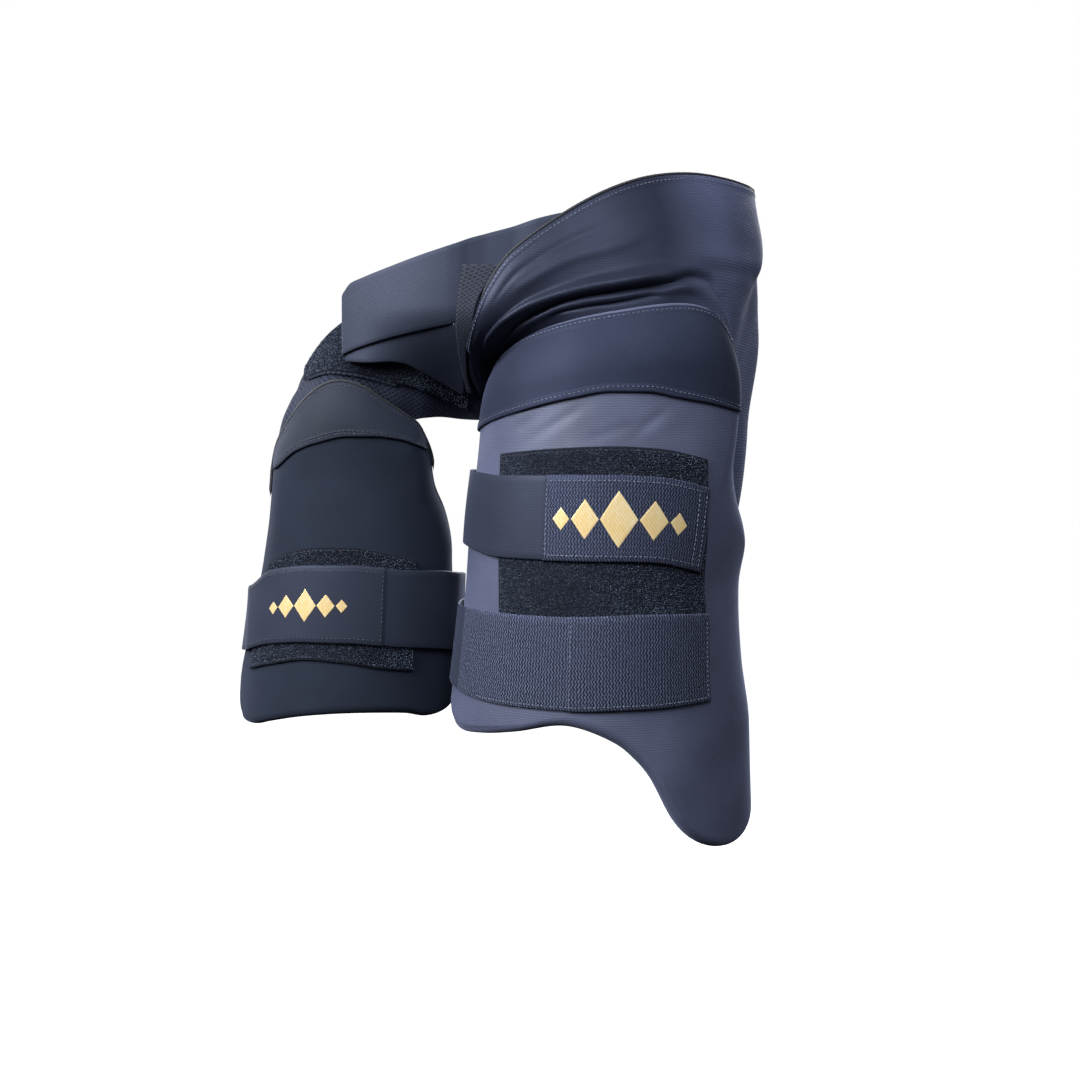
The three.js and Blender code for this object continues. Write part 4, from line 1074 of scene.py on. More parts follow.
def hip_satin():
    """Stretch satin that turns into a ribbed knit over the hip: sharp sheen on its folds in front, and level
    ribs with a bloom at the side. The knit's lighter tone is partly its own colour and partly painted light
    from above."""
    material, tree, shader, flat = new_finish("stretch_satin", Specular_IOR_Level=0.36, Sheen_Weight=0.3,
                                              Sheen_Roughness=0.35, Sheen_Tint=srgb("#a4aed0"),
                                              Specular_Tint=srgb("#b2bbe0"))
    across = node(tree, "SeparateXYZ", {"Vector": flat}).outputs["X"]
    wing_range = {"Value": across, "From Min": WING_START - WING_BLEND, "From Max": WING_START}
    wing = node(tree, "MapRange", wing_range, interpolation_type="SMOOTHSTEP").outputs["Result"]
    smooth_thread, smooth_share = woven_tone(tree, flat, rib=1.7, wobble=0.8, direction="Y", yarn=1.4, blotch=40)
    rib_thread, rib_share = woven_tone(tree, flat, rib=2.2, wobble=0.9, direction="Y", yarn=1.8, blotch=60)
    satin = node(tree, "MixRGB", {"Fac": smooth_share, "Color1": srgb("#171a25"), "Color2": srgb("#232735")})
    # The knit's tone, far lighter than the satin's, is partly its own colour and partly painted light from
    # above.
    knit = node(tree, "MixRGB", {"Fac": rib_share, "Color1": srgb("#3b4158"), "Color2": srgb("#5a617e")})
    both = node(tree, "MixRGB", {"Fac": wing, "Color1": satin.outputs["Color"],
                                 "Color2": knit.outputs["Color"]})
    knit_height = node(tree, "Math", {0: rib_thread, 1: wing}, operation="MULTIPLY").outputs["Value"]
    height = node(tree, "Math", {0: smooth_thread, 1: 0.2, 2: knit_height}, operation="MULTIPLY_ADD")
    dent = node(tree, "Bump", {"Height": height.outputs["Value"], "Distance": 0.3 * MM, "Strength": 0.8})
    gloss = node(tree, "MapRange", {"Value": wing, "To Min": 0.45, "To Max": 0.66}).outputs["Result"]
    tree.links.new(both.outputs["Color"], shader.inputs["Base Color"])
    tree.links.new(dent.outputs["Normal"], shader.inputs["Normal"])
    tree.links.new(gloss, shader.inputs["Roughness"])
    return material


def loop_backing():
    """Nylon loop tape: almost black, and rough all over."""
    return ribbed_cloth("nylon_loop_tape", "#080b12", "#161b28", rib=1.8, wobble=5.0, relief=0.6, yarn=0.9,
                        Roughness=0.95, Specular_IOR_Level=0.2, Sheen_Weight=0.1, Sheen_Roughness=0.6,
                        Sheen_Tint=srgb("#8e9ac0"))


def pile_nylon():
    """The tape's raised loops: clear nylon thread that glints where it turns. The near black is the loops' own
    colour; the lighter grey-blue that some loops take is painted glint.
    """
    # The lighter grey-blue that some loops take is painted glint; the near black is the loops' own colour.
    return ribbed_cloth("brushed_nylon_loops", "#10141e", "#5b6880", rib=2.0, wobble=2.0, relief=0.05,
                        yarn=0.8, Roughness=0.5, Sheen_Weight=0.15, Sheen_Roughness=0.5,
                        Sheen_Tint=srgb("#8e9ac0"))


def ribbed_elastic():
    """Woven elastic: fine cords along the strap, slightly shiny."""
    return ribbed_cloth("ribbed_elastic", "#1d212c", "#2a2f3c", rib=1.8, wobble=1.6, relief=0.05, yarn=1.2,
                        Roughness=0.58, Sheen_Weight=0.3, Sheen_Roughness=0.4, Sheen_Tint=srgb("#a4b0d8"),
                        Specular_Tint=srgb("#b9c2e6"))


# The zigzag's pitch along the strap, the length of one leg across it, and how far a leg swings
# along for each mm across
ZIGZAG_PITCH = 2.2
ZIGZAG_LENGTH = 1.7
ZIGZAG_SWING = 0.7


def zigzag_elastic(name, dark, light):
    """Woven elastic whose bright yarn floats in a zigzag over a dark ground. The zigzag is drawn
    2.2 mm apart, coarser than the real one, so that it shows."""
    material, tree, shader, flat = new_finish(name, Roughness=0.5, Sheen_Weight=0.3, Sheen_Roughness=0.4,
                                              Sheen_Tint=srgb("#a4b0d8"), Specular_Tint=srgb("#a9b6ea"))
    places = node(tree, "SeparateXYZ", {"Vector": flat})
    along, over = places.outputs["X"], places.outputs["Y"]
    swing = node(tree, "Math", {0: over, 1: ZIGZAG_LENGTH}, operation="PINGPONG").outputs["Value"]
    swung = node(tree, "Math", {0: swing, 1: ZIGZAG_SWING, 2: along}, operation="MULTIPLY_ADD")
    moved = node(tree, "CombineXYZ", {"X": swung.outputs["Value"], "Y": over}).outputs["Vector"]
    floats = node(tree, "TexWave", {"Vector": moved, "Scale": WAVE_TURN / ZIGZAG_PITCH, "Distortion": 3.0,
                                    "Detail": 2.0, "Detail Scale": 0.6}, bands_direction="X").outputs["Fac"]
    broken = node(tree, "TexNoise", {"Vector": flat, "Scale": 1 / 1.3, "Detail": 1.0}).outputs["Fac"]
    yarn = node(tree, "Math", {0: floats, 1: broken}, operation="MULTIPLY").outputs["Value"]
    shown = node(tree, "MapRange", {"Value": yarn, "From Min": 0.12, "From Max": 0.55}).outputs["Result"]
    colour = node(tree, "MixRGB", {"Fac": shown, "Color1": srgb(dark), "Color2": srgb(light)})
    dent = node(tree, "Bump", {"Height": yarn, "Distance": 0.5 * MM, "Strength": 0.9})
    tree.links.new(colour.outputs["Color"], shader.inputs["Base Color"])
    tree.links.new(dent.outputs["Normal"], shader.inputs["Normal"])
    return material


def holed_knit(name, dark, light, hole, pitch, **surface):
    """Knit with a lattice of round holes, filled with near black as painted shade: hole is their width, and
    pitch how far apart they lie, in mm."""
    material, tree, shader, flat = new_finish(name, **surface)
    turned = node(tree, "Mapping", {"Vector": flat, "Rotation": (0, 0, math.pi / 4)}).outputs["Vector"]
    cell = node(tree, "TexVoronoi", {"Vector": turned, "Scale": 1 / pitch, "Randomness": 0.12})
    edge = {"Value": cell.outputs["Distance"], "From Min": 0.38 * hole / pitch,
            "From Max": 0.62 * hole / pitch}
    solid = node(tree, "MapRange", edge).outputs["Result"]
    share = woven_tone(tree, flat, rib=1.2, wobble=1.0, direction="X", yarn=1.2, blotch=30)[1]
    knit = node(tree, "MixRGB", {"Fac": share, "Color1": srgb(dark), "Color2": srgb(light)}).outputs["Color"]
    # Near black fills the holes: painted shade for their depths.
    colour = node(tree, "MixRGB", {"Fac": solid, "Color1": srgb("#050608"), "Color2": knit})
    dent = node(tree, "Bump", {"Height": solid, "Distance": 0.6 * MM, "Strength": 0.9})
    tree.links.new(colour.outputs["Color"], shader.inputs["Base Color"])
    tree.links.new(dent.outputs["Normal"], shader.inputs["Normal"])
    return material


def spacer_mesh():
    """Polyester spacer mesh: matte, with a round hole every 3 mm, filled with near black as painted shade."""
    return holed_knit("spacer_mesh", "#171c2a", "#2b3248", hole=1.7, pitch=3.0, Roughness=0.85,
                      Specular_IOR_Level=0.25, Sheen_Weight=0.15, Sheen_Roughness=0.5,
                      Sheen_Tint=srgb("#8e9ac0"))


def dotted_lining():
    """Brushed lining: matte, with a small dimple every 2.2 mm, filled with near black as painted shade."""
    return holed_knit("dimpled_lining", "#161b28", "#2b3147", hole=1.1, pitch=2.2, Roughness=0.8,
                      Sheen_Weight=0.15, Sheen_Roughness=0.5, Sheen_Tint=srgb("#8e9ac0"))


def binding_tape_and_seam_shadow():
    """Folded tape round the raw edge, near black. The same finish colours the cord that paints the shadow in
    the inner pad's seam.
    """
    return ribbed_cloth("folded_tape_and_painted_seam_shadow", "#0e1016", "#1f232e", rib=1.6, wobble=0.4, relief=0.15,
                        direction="X", Roughness=0.6, Sheen_Weight=0.2, Sheen_Roughness=0.4)


def sewing_thread(name, dark, light):
    """Bonded polyester thread, smooth and slightly shiny."""
    return ribbed_cloth(name, dark, light, rib=0.8, wobble=0.2, relief=0.03, Roughness=0.45,
                        Sheen_Weight=0.2, Sheen_Roughness=0.4)


def gold_foil():
    """Hot-stamped foil: a thin metal skin that takes on the weave under it. Its gold is its own colour; the
    near-white tone mixed in over its ribs and blotches is painted reflection of the lamps.
    """
    # The near-white tone that the ribs and blotches mix into the gold is painted reflection of the lamps.
    return ribbed_cloth("hot_stamped_foil", "#f0c25c", "#fffadc", rib=2.1, wobble=1.5, relief=0.05, yarn=3.0,
                        blotch=26, Metallic=0.4, Roughness=0.3)


def white_floor_paint():
    """Matt white paint, so evenly lit that it shows no horizon."""
    return ribbed_cloth("matt_white_paint", "#f4f4f4", "#ffffff", rib=400, wobble=0.1, relief=0.0,
                        Roughness=1.0, Emission_Color=srgb("#ffffff"), Emission_Strength=1.0)


# PADS
# Steps of the pads' shells: spokes round them, rings behind, round the rim and in front
OUTER_PAD_SPOKES = 300
INNER_PAD_SPOKES = 240
PAD_BACK_RINGS = 14
PAD_RIM_RINGS = 15
PAD_FRONT_RINGS = 84
# The innermost ring, as a share of the radius
PAD_HUB = 0.004
# The front's rings crowd towards the rim by this power
PAD_CROWDING = 1.3
# Relief fades out over this distance from the rim
RELIEF_FADE = 9


def pad_shell(pad, spokes, relief):
    """A closed padded shell: smooth behind, rounded at its rim, and crowned in front."""
    bearings = np.arange(spokes + 1) * 360 / spokes
    radius, edge = pad.rim_at(bearings)
    half = edge / 2
    rings = []
    for share in np.linspace(PAD_HUB, 1, PAD_BACK_RINGS):
        rings.append((mix(radius, half, share), np.zeros(spokes + 1)))
    for turn in np.linspace(-90, 90, PAD_RIM_RINGS)[1:-1]:
        turn = math.radians(turn)
        rings.append((half * (1 - math.cos(turn)), half * (1 + math.sin(turn))))
    for share in (1 - np.linspace(PAD_HUB, 1, PAD_FRONT_RINGS))[::-1] ** PAD_CROWDING:
        inset = mix(half, radius, share)
        rings.append((inset, pad.front_height(inset, edge)))
    inset = np.array([ring[0] for ring in rings])
    angle, z = pad.place(bearings, inset)
    across = angle * pad.mm_per_degree
    height = np.array([ring[1] for ring in rings])
    in_front = np.arange(len(rings))[:, None] >= PAD_BACK_RINGS
    height = height + np.where(in_front, relief(across, z) * ease(inset / RELIEF_FADE), 0)
    points = pad.form(angle, z, height)[:, :-1]
    flat = np.stack([across, z], axis=-1)[:, :-1]
    ids = np.arange(points.shape[0] * spokes).reshape(-1, spokes)
    faces = quads_between(np.concatenate([ids, ids[:, :1]], axis=1)).tolist()
    faces.append(ids[0].tolist())
    faces.append(ids[-1][::-1].tolist())
    return points.reshape(-1, 3), flat.reshape(-1, 2), faces


def crease(across, z, start, end, half_width):
    """1 along a straight crease between two places, fading at its ends and sides."""
    run = np.array(end, float) - np.array(start, float)
    length = np.hypot(*run)
    along = ((across - start[0]) * run[0] + (z - start[1]) * run[1]) / length
    aside = ((across - start[0]) * run[1] - (z - start[1]) * run[0]) / length
    share = np.clip(along / length, 0, 1)
    past = along - share * length
    return bump(np.hypot(aside, past * 0.6), half_width) * np.sin(math.pi * mix(0.08, 0.92, share))


# Wrinkles below the cap band: height in mm, half-width in mm, and their ends on the cloth laid flat
OUTER_WRINKLES = [
    (-0.9, 3.0, (-66, -119), (-20, -94)),
    (0.4, 6.0, (-58, -122), (-14, -99)),
    (-0.8, 3.0, (-83, -112), (-59, -100)),
    (-0.7, 3.0, (12, -118), (33, -97)),
    (0.3, 6.0, (20, -120), (42, -98)),
    (-0.5, 3.0, (-22, -120), (20, -106)),
    (0.5, 7.0, (-105, -240), (-88, -150)),
]


# Height of the faint swells left in each moulded foam; their spacing, in mm, is in the formulas
OUTER_SWELL = 0.5
INNER_SWELL = 0.4


def outer_pad_relief(across, z):
    total = OUTER_SWELL * np.sin(across / 21 + z / 37) * np.sin(z / 29 - across / 43)
    for height, half_width, start, end in OUTER_WRINKLES:
        total = total + height * crease(across, z, start, end, half_width)
    return total


def inner_pad_relief(across, z):
    return INNER_SWELL * np.sin(across / 17 + z / 31) * np.sin(z / 23)


def make_pads():
    for name, pad, spokes, relief, material, slot in (
            ("outer_pad", outer_pad, OUTER_PAD_SPOKES, outer_pad_relief, outer_pad_knit(), "pad_cloth"),
            ("inner_pad", inner_pad, INNER_PAD_SPOKES, inner_pad_relief, inner_pad_knit(), "inner_cloth")):
        points, flat, faces = pad_shell(pad, spokes, relief)
        piece = new_piece(name + "_foam", points, flat, faces, material, slot)
        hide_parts(name)


# SKINS, PATCHES AND STRAPS
# Steps of the cloths' grids, along and across each of them
SKIN_STEPS = (190, 80)
PATCH_STEPS = (80, 40)
THIGH_STRAP_STEPS = (540, 14)
HIP_PANEL_STEPS = (380, 92)
HIP_LINING_STEPS = (16, 70)
WAIST_MESH_STEPS = (220, 40)
LOOP_BAND_STEPS = (130, 22)
BACK_BAND_STEPS = (260, 10)
# The folded waist strap's steps, for each degree along it and across it
WAIST_STRAP_STEPS_PER_DEGREE = 4
WAIST_STRAP_STEPS_OVER = 18


def stepped(first, last, steps):
    """A lattice between two pairs of limits."""
    return lattice(np.linspace(*first, steps[0]), np.linspace(*last, steps[1]))


def front_flat(pad, grid):
    """Skins lie flat as the pad's own cloth does, so that their wales stand upright."""
    return wrapped_round(grid, *pad_axis(pad))


def pad_axis(pad):
    if pad is outer_pad:
        return OUTER_THIGH_X, OUTER_THIGH_Y, OUTER_THIGH_HALF_WIDTH
    return INNER_THIGH_X, INNER_THIGH_Y, INNER_THIGH_HALF_WIDTH


outer_cap = arch_skin(outer_pad, OUTER_CAP_LOWER, OUTER_CAP_BEARINGS)
inner_cap = arch_skin(inner_pad, INNER_CAP_LOWER, INNER_CAP_BEARINGS)
outer_patch = loop_patch(outer_pad, OUTER_PATCH_EDGES)
inner_patch = loop_patch(inner_pad, INNER_PATCH_EDGES)
outer_upper = thigh_strap(outer_pad, OUTER_STRAP_WIDTH, OUTER_UPPER_ROUTE)
outer_lower = thigh_strap(outer_pad, OUTER_STRAP_WIDTH, OUTER_LOWER_ROUTE)
inner_strap = thigh_strap(inner_pad, INNER_STRAP_WIDTH, INNER_ROUTE)


# A folded seam allowance: how wide it is and how high it stands, in mm
SEAM_FOLD_WIDTH = 4.5
SEAM_FOLD_HEIGHT = 0.6
# Over this distance it drops to the cloth; its stitches dimple it at a share of its width
SEAM_FOLD_STEP = 2
STITCH_DIMPLE = 0.6
STITCH_DIMPLE_HALF_WIDTH = 0.7
# A skin thins out towards its two ends, over this share of it and to this share of its thickness
SKIN_TAPER = 0.05
SKIN_END_THICKNESS = 0.25


def folded_edge(distance, height=SEAM_FOLD_HEIGHT):
    """Extra thickness near an edge that is folded under and sewn down, dimpled at its stitches."""
    fold = height * (1 - ease((distance - SEAM_FOLD_WIDTH) / SEAM_FOLD_STEP + 0.5))
    return fold - height / 2 * bump(distance - SEAM_FOLD_WIDTH * STITCH_DIMPLE, STITCH_DIMPLE_HALF_WIDTH)


def make_skins():
    for name, pad, surface, material, slot in (
            ("outer_cap_band", outer_pad, outer_cap, cap_tricot(), "shiny_knit"),
            ("inner_top_panel", inner_pad, inner_cap, top_panel_knit(), "inner_cloth")):
        across, up = stepped((0, 1), (0, 1), SKIN_STEPS)
        grid = surface(across, up)
        height = np.linalg.norm(grid[:, -1] - grid[:, 0], axis=-1, keepdims=True)
        fold = SEAM_FOLD_HEIGHT if pad is outer_pad else SEAM_FOLD_HEIGHT / 2
        thickness = SKIN_THICKNESS + folded_edge((1 - up) * height, fold) + folded_edge(up * height, fold)
        whole = ease(across / SKIN_TAPER) * ease((1 - across) / SKIN_TAPER)
        thickness = thickness * mix(SKIN_END_THICKNESS, 1, whole)
        cut_cloth(name + "_cloth", grid, front_flat(pad, grid), thickness, material, slot)


def make_patches():
    material = loop_backing()
    for name, pad, surface in (("outer_loop_patch", outer_pad, outer_patch),
                               ("inner_loop_patch", inner_pad, inner_patch)):
        grid = surface(*stepped((0, 1), (0, 1), PATCH_STEPS))
        cut_cloth(name + "_cloth", grid, laid_flat(grid), LOOP_THICKNESS, material, "loop_pile")


# Each thigh strap: its hooked tab starts at one angle and ends at the other, and stands this high
TAB_RISE = 0.8
TAB_STEP = 0.8
UPPER_TAB = (-24.8, OUTER_UPPER_ROUTE.last)
LOWER_TAB = (-14.2, OUTER_LOWER_ROUTE.last)
INNER_TAB = (INNER_ROUTE.first, 20.0)
# Where the zigzag starts on a strap: the lower one has it on its whole front
ZIGZAG_FROM = {"outer_upper_strap": UPPER_TAB[0], "outer_lower_strap": -66}


def tab_rise(angle, tab):
    """Height of the doubled tab, which drops off over about a degree at both its ends."""
    return TAB_RISE * ease((angle - tab[0]) / TAB_STEP + 0.5) * ease((tab[1] - angle) / TAB_STEP + 0.5)


def make_thigh_straps():
    plain = ribbed_elastic()
    bright = zigzag_elastic("zigzag_elastic", "#13161f", "#575e74")
    fine = zigzag_elastic("fine_zigzag_elastic", "#171a24", "#474d61")
    for name, surface, route, tab, material, other, on in (
            ("outer_upper_strap", outer_upper, OUTER_UPPER_ROUTE, UPPER_TAB, plain, fine, "outer"),
            ("outer_lower_strap", outer_lower, OUTER_LOWER_ROUTE, LOWER_TAB, plain, bright, "outer"),
            ("inner_strap", inner_strap, INNER_ROUTE, INNER_TAB, plain, None, "inner")):
        angle, up = stepped((route.first, route.last), (0, 1), THIGH_STRAP_STEPS)
        grid = surface(angle, up)
        flat = laid_flat(grid)
        thickness = STRAP_THICKNESS + tab_rise(angle, tab)
        if other:
            first_of_tab = np.searchsorted(angle[:, 0], ZIGZAG_FROM[name])
            other = (other, flat[first_of_tab, 0, 0])
        cut_cloth(name + "_cloth", grid, flat, thickness, material, "elastic",
                  other)


# PILE
# Each loop is drawn as a short bent strip of two faces, coarser than real pile, so that it shows
PILE_LENGTH = 1.5
PILE_WIDTH = 0.34
# Height of its root, as a share of the tape's thickness
PILE_ROOT = 0.9
# How strongly it stands up, how far it leans at random, and how far it bends from that
PILE_UPRIGHT = 1.2
PILE_LEAN = 0.55
PILE_BEND = 0.7
# The shortest one and the bend's place, as shares of the length
PILE_SHORTEST = 0.5
PILE_KNEE = 0.55
# Loops go on this far under a strap's edge
PILE_UNDER_STRAP = 1.5
# Loops tried on each patch, before those under straps are left out
OUTER_PILE_TRIES = 42000
INNER_PILE_TRIES = 24000
WAIST_PILE_TRIES = 12000


def pile(name, surface, firsts, seconds, count, seed, keep, material):
    """Short bent strips, for the nylon loops, all over a patch except where a strap hides them."""
    random = np.random.default_rng(seed)
    first = random.uniform(*firsts, count)
    second = random.uniform(*seconds, count)
    root, normal = placed(surface, first, second, LOOP_THICKNESS * PILE_ROOT)
    shown = keep(root)
    root, normal = root[shown], normal[shown]
    count = len(root)
    lean = unit(normal * PILE_UPRIGHT + random.normal(0, PILE_LEAN, (count, 3)))
    bend = unit(lean + random.normal(0, PILE_BEND, (count, 3)))
    side = unit(np.cross(lean, random.normal(0, 1, (count, 3)))) * PILE_WIDTH / 2
    length = PILE_LENGTH * random.uniform(PILE_SHORTEST, 1.0, (count, 1))
    middle = root + lean * length * PILE_KNEE
    tip = middle + bend * length * (1 - PILE_KNEE)
    points = np.stack([root - side, root + side, middle - side, middle + side, tip - side * 0.5,
                       tip + side * 0.5], axis=1)
    starts = np.arange(count)[:, None] * 6
    faces = np.concatenate([starts + [0, 1, 3, 2], starts + [2, 3, 5, 4]])
    flat = np.repeat(np.stack([root[:, 0], root[:, 2]], axis=-1), 6, axis=0)
    return new_piece(name, points.reshape(-1, 3), flat, faces, material, "loop_pile")


def clear_of(form_angle, straps):
    """A test for roots that no strap hides. A strap is its pad, route and width."""
    def test(root):
        angle = form_angle(root)
        hidden = np.zeros(len(root), bool)
        for pad, route, width in straps:
            aside = np.abs(root[:, 2] - pad.z_at(route.drop(angle)))
            under = aside < route.width(angle) * width / 2 - PILE_UNDER_STRAP
            hidden |= under & (angle < route.last) & (angle > route.first)
        return ~hidden
    return test


def outer_angle(points):
    return np.degrees(np.arctan2((points[:, 0] - OUTER_THIGH_X) / OUTER_THIGH_HALF_WIDTH,
                                 (OUTER_THIGH_Y - points[:, 1]) / OUTER_THIGH_DEPTH))


def inner_angle(points):
    return np.degrees(np.arctan2((points[:, 0] - INNER_THIGH_X) / INNER_THIGH_HALF_WIDTH,
                                 (INNER_THIGH_Y - points[:, 1]) / INNER_THIGH_DEPTH))


def make_pile():
    material = pile_nylon()
    outer_clear = clear_of(outer_angle, [(outer_pad, OUTER_UPPER_ROUTE, OUTER_STRAP_WIDTH),
                                         (outer_pad, OUTER_LOWER_ROUTE, OUTER_STRAP_WIDTH)])
    inner_clear = clear_of(inner_angle, [(inner_pad, INNER_ROUTE, INNER_STRAP_WIDTH)])
    pile("outer_loop_pile", outer_patch, (0.004, 0.996), (0.006, 0.994), OUTER_PILE_TRIES, 11, outer_clear,
         material)
    pile("inner_loop_pile", inner_patch, (0.005, 0.995), (0.01, 0.99), INNER_PILE_TRIES, 12, inner_clear,
         material)
    band = (LOOP_BAND_EDGES.first + 0.1, LOOP_BAND_EDGES.last - 0.1)
    pile("waist_loop_pile", raised_loop_band, band, (0.01, 0.99), WAIST_PILE_TRIES, 13,
         lambda root: np.ones(len(root), bool), material)


# HIP
# Cloth that goes on past the seam into it, as a share of the panel's width
HIP_ALLOWANCE = 0.06
# The panel's steps crowd towards its seam by this power
HIP_CROWDING = 1.15
# Its hem fades out over these rows behind its rear top corner
HEM_FADE_ROWS = 1.5


def hip_panel_flat(grid):
    return wrapped_round(grid, OUTER_THIGH_X / 2, OUTER_THIGH_Y / 2, OUTER_THIGH_HALF_WIDTH)


def make_hip_panel():
    shares = mix(-HIP_ALLOWANCE, 1, np.linspace(0, 1, HIP_PANEL_STEPS[1]) ** HIP_CROWDING)
    row, out = lattice(np.linspace(0, HIP_LAST, HIP_PANEL_STEPS[0]), shares)
    grid = hip_point(row, out)
    width = np.linalg.norm(grid[:, -1] - grid[:, 0], axis=-1, keepdims=True)
    hem = folded_edge((1 - out) * width) * (1 - ease((row - REAR_TOP_ROW) / HEM_FADE_ROWS))
    cut_cloth("hip_panel_cloth", grid, hip_panel_flat(grid), PANEL_THICKNESS + hem, hip_satin(), "shiny_knit")


def make_hip_lining():
    grid = lining_point(*stepped((0, 1), (0, 1), HIP_LINING_STEPS))
    cut_cloth("hip_lining_cloth", grid, laid_flat(grid), MESH_THICKNESS, dotted_lining(), "air_mesh")


# BINDING, PAINTED SEAM SHADOW AND PIPING
CORD_SIDES = 16
# A cord thins out at its two ends, over this share of it and to this share of its radius
CORD_TAPER = 0.04
CORD_TIP = 0.02
# A near-black cord round the inner pad's arch paints the shadow in the groove of its seam; its radius, inset,
# bearings and sections follow
BINDING_SECTIONS = 260
SEAM_SHADOW_CORD_RADIUS = 1.5
SEAM_SHADOW_CORD_INSET = 1.4
SEAM_SHADOW_CORD_BEARINGS = (-58, 47)
SEAM_SHADOW_CORD_SECTIONS = 400
PIPING_RADIUS = 1.4
PIPING_DROP = 0.05
PIPING_ROWS = (2.2, 8.2)
PIPING_SECTIONS = 240


def round_cord(name, centre, away, side, radius, material, slot):
    """A cord of a radius along a line, with its two cross directions and tapered ends."""
    turns = np.linspace(0, 2 * math.pi, CORD_SIDES + 1)
    ring = away[:, None] * np.cos(turns)[:, None] + side[:, None] * np.sin(turns)[:, None]
    share = np.linspace(0, 1, len(centre))
    taper = mix(CORD_TIP, 1, ease(share / CORD_TAPER) * ease((1 - share) / CORD_TAPER))
    points = centre[:, None] + ring * radius * taper[:, None, None]
    flat = np.stack(lattice(lengths_along(centre), turns * radius), axis=-1)
    faces = quads_between(np.arange(points[..., 0].size).reshape(points.shape[:2]))
    return new_piece(name, points.reshape(-1, 3), flat.reshape(-1, 2), faces, material, slot)


def make_hip_binding():
    rows = np.linspace(BINDER_START_ROW, REAR_TOP_ROW, BINDING_SECTIONS)
    edge = hip_point(rows, 1.0)
    away = unit(edge - hip_point(rows, 0.9))
    side = unit(np.cross(unit(np.gradient(edge, axis=0)), away))
    centre = edge + away * (BINDING_RADIUS + SEAM_GAP) + side * PANEL_THICKNESS / 2
    piece = round_cord("hip_binding_tape", centre, away, side, BINDING_RADIUS, binding_tape_and_seam_shadow(), "loop_pile")
    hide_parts("hip_binding")


def inner_pad_front(angle, z):
    return inner_pad.form(angle, z, inner_pad.front(angle, z))


def make_inner_seam_shadow_cord():
    """A near-black cord round the inner pad's arch, which paints the shadow in the groove of its seam."""
    bearing = np.linspace(*SEAM_SHADOW_CORD_BEARINGS, SEAM_SHADOW_CORD_SECTIONS)
    angle, z = inner_pad.place(bearing, SEAM_SHADOW_CORD_INSET)
    skin = placed(inner_pad_front, angle, z, SEAM_SHADOW_CORD_RADIUS * 0.55)
    side = unit(np.cross(unit(np.gradient(skin[0], axis=0)), skin[1]))
    # The tape's near-black finish here is painted shadow.
    round_cord("inner_pad_seam_shadow_cord", skin[0], skin[1], side, SEAM_SHADOW_CORD_RADIUS, binding_tape_and_seam_shadow(), "inner_cloth")


# WAIST
def own_lengths(grid):
    """Cloth laid flat whose columns each keep their own width, measured from the grid's middle line."""
    along = lengths_along(grid[:, grid.shape[1] // 2])[:, None]
    over = np.cumsum(np.linalg.norm(np.diff(grid, axis=1, prepend=grid[:, :1]), axis=-1), axis=1)
    over = over - over[:, grid.shape[1] // 2][:, None]
    return np.stack(np.broadcast_arrays(along, over), axis=-1)


def make_waist_mesh():
    grid = yoke_point(*stepped((0, YOKE_LAST), (0, 1), WAIST_MESH_STEPS))
    cut_cloth("waist_mesh_cloth", grid, own_lengths(grid), MESH_THICKNESS, spacer_mesh(), "air_mesh")


def raised_loop_band(row, up, lift=MESH_THICKNESS + SEWN_GAP):
    return placed(loop_band_point, row, up, lift)[0]


def make_loop_band():
    ends = (LOOP_BAND_EDGES.first, LOOP_BAND_EDGES.last)
    grid = raised_loop_band(*stepped(ends, (0, 1), LOOP_BAND_STEPS))
    cut_cloth("waist_loop_band_cloth", grid, laid_flat(grid), LOOP_THICKNESS, loop_backing(), "loop_pile")


def make_band_piping():
    """Soft piping that closes the mesh below the loop band."""
    row = np.linspace(*PIPING_ROWS, PIPING_SECTIONS)
    centre, normal = placed(loop_band_point, row, -PIPING_DROP, MESH_THICKNESS + PIPING_RADIUS * 0.5)
    side = unit(np.cross(unit(np.gradient(centre, axis=0)), normal))
    round_cord("waist_band_piping", centre, normal, side, PIPING_RADIUS, spacer_mesh(), "air_mesh")


def belt_grid():
    columns = belt_path(WAIST_STRAP_STEPS_PER_DEGREE)
    angle, low, high, low_lift, high_lift = (column[:, None] for column in columns)
    up = np.linspace(0, 1, WAIST_STRAP_STEPS_OVER)
    grid = waist(angle, mix(waist_z(low), waist_z(high), up), mix(low_lift, high_lift, up))
    return grid - outward(grid) * STRAP_THICKNESS / 2


def make_waist_strap():
    grid = belt_grid()
    cut_cloth("waist_strap_cloth", grid, laid_flat(grid), STRAP_THICKNESS, ribbed_elastic(), "elastic")


def make_back_band():
    ends = (BACK_BAND_ROUTE.first, BACK_BAND_ROUTE.last)
    grid = back_band_point(*stepped(ends, (0, 1), BACK_BAND_STEPS))
    cut_cloth("waist_back_band_cloth", grid, laid_flat(grid), STRAP_THICKNESS, ribbed_elastic(), "elastic")


# STITCHING
# Points along a row of stitches before it is cut into stitches
ROW_POINTS = 300
CROSS_ROW_POINTS = 60
PATCH_ROW_POINTS = 120
HEM_ROW_POINTS = 500
# Height of stitches on a folded hem, as a share of the fold's height
HEM_STITCH_HEIGHT = 0.6
# Distance of the hip panel's stitches from its free edge
HIP_HEM_INSET = 2.7


def along_strap(surface, tab, angles, up):
    angle = np.linspace(*angles, ROW_POINTS)
    return placed(surface, angle, np.full(ROW_POINTS, up), STRAP_THICKNESS + tab_rise(angle, tab))


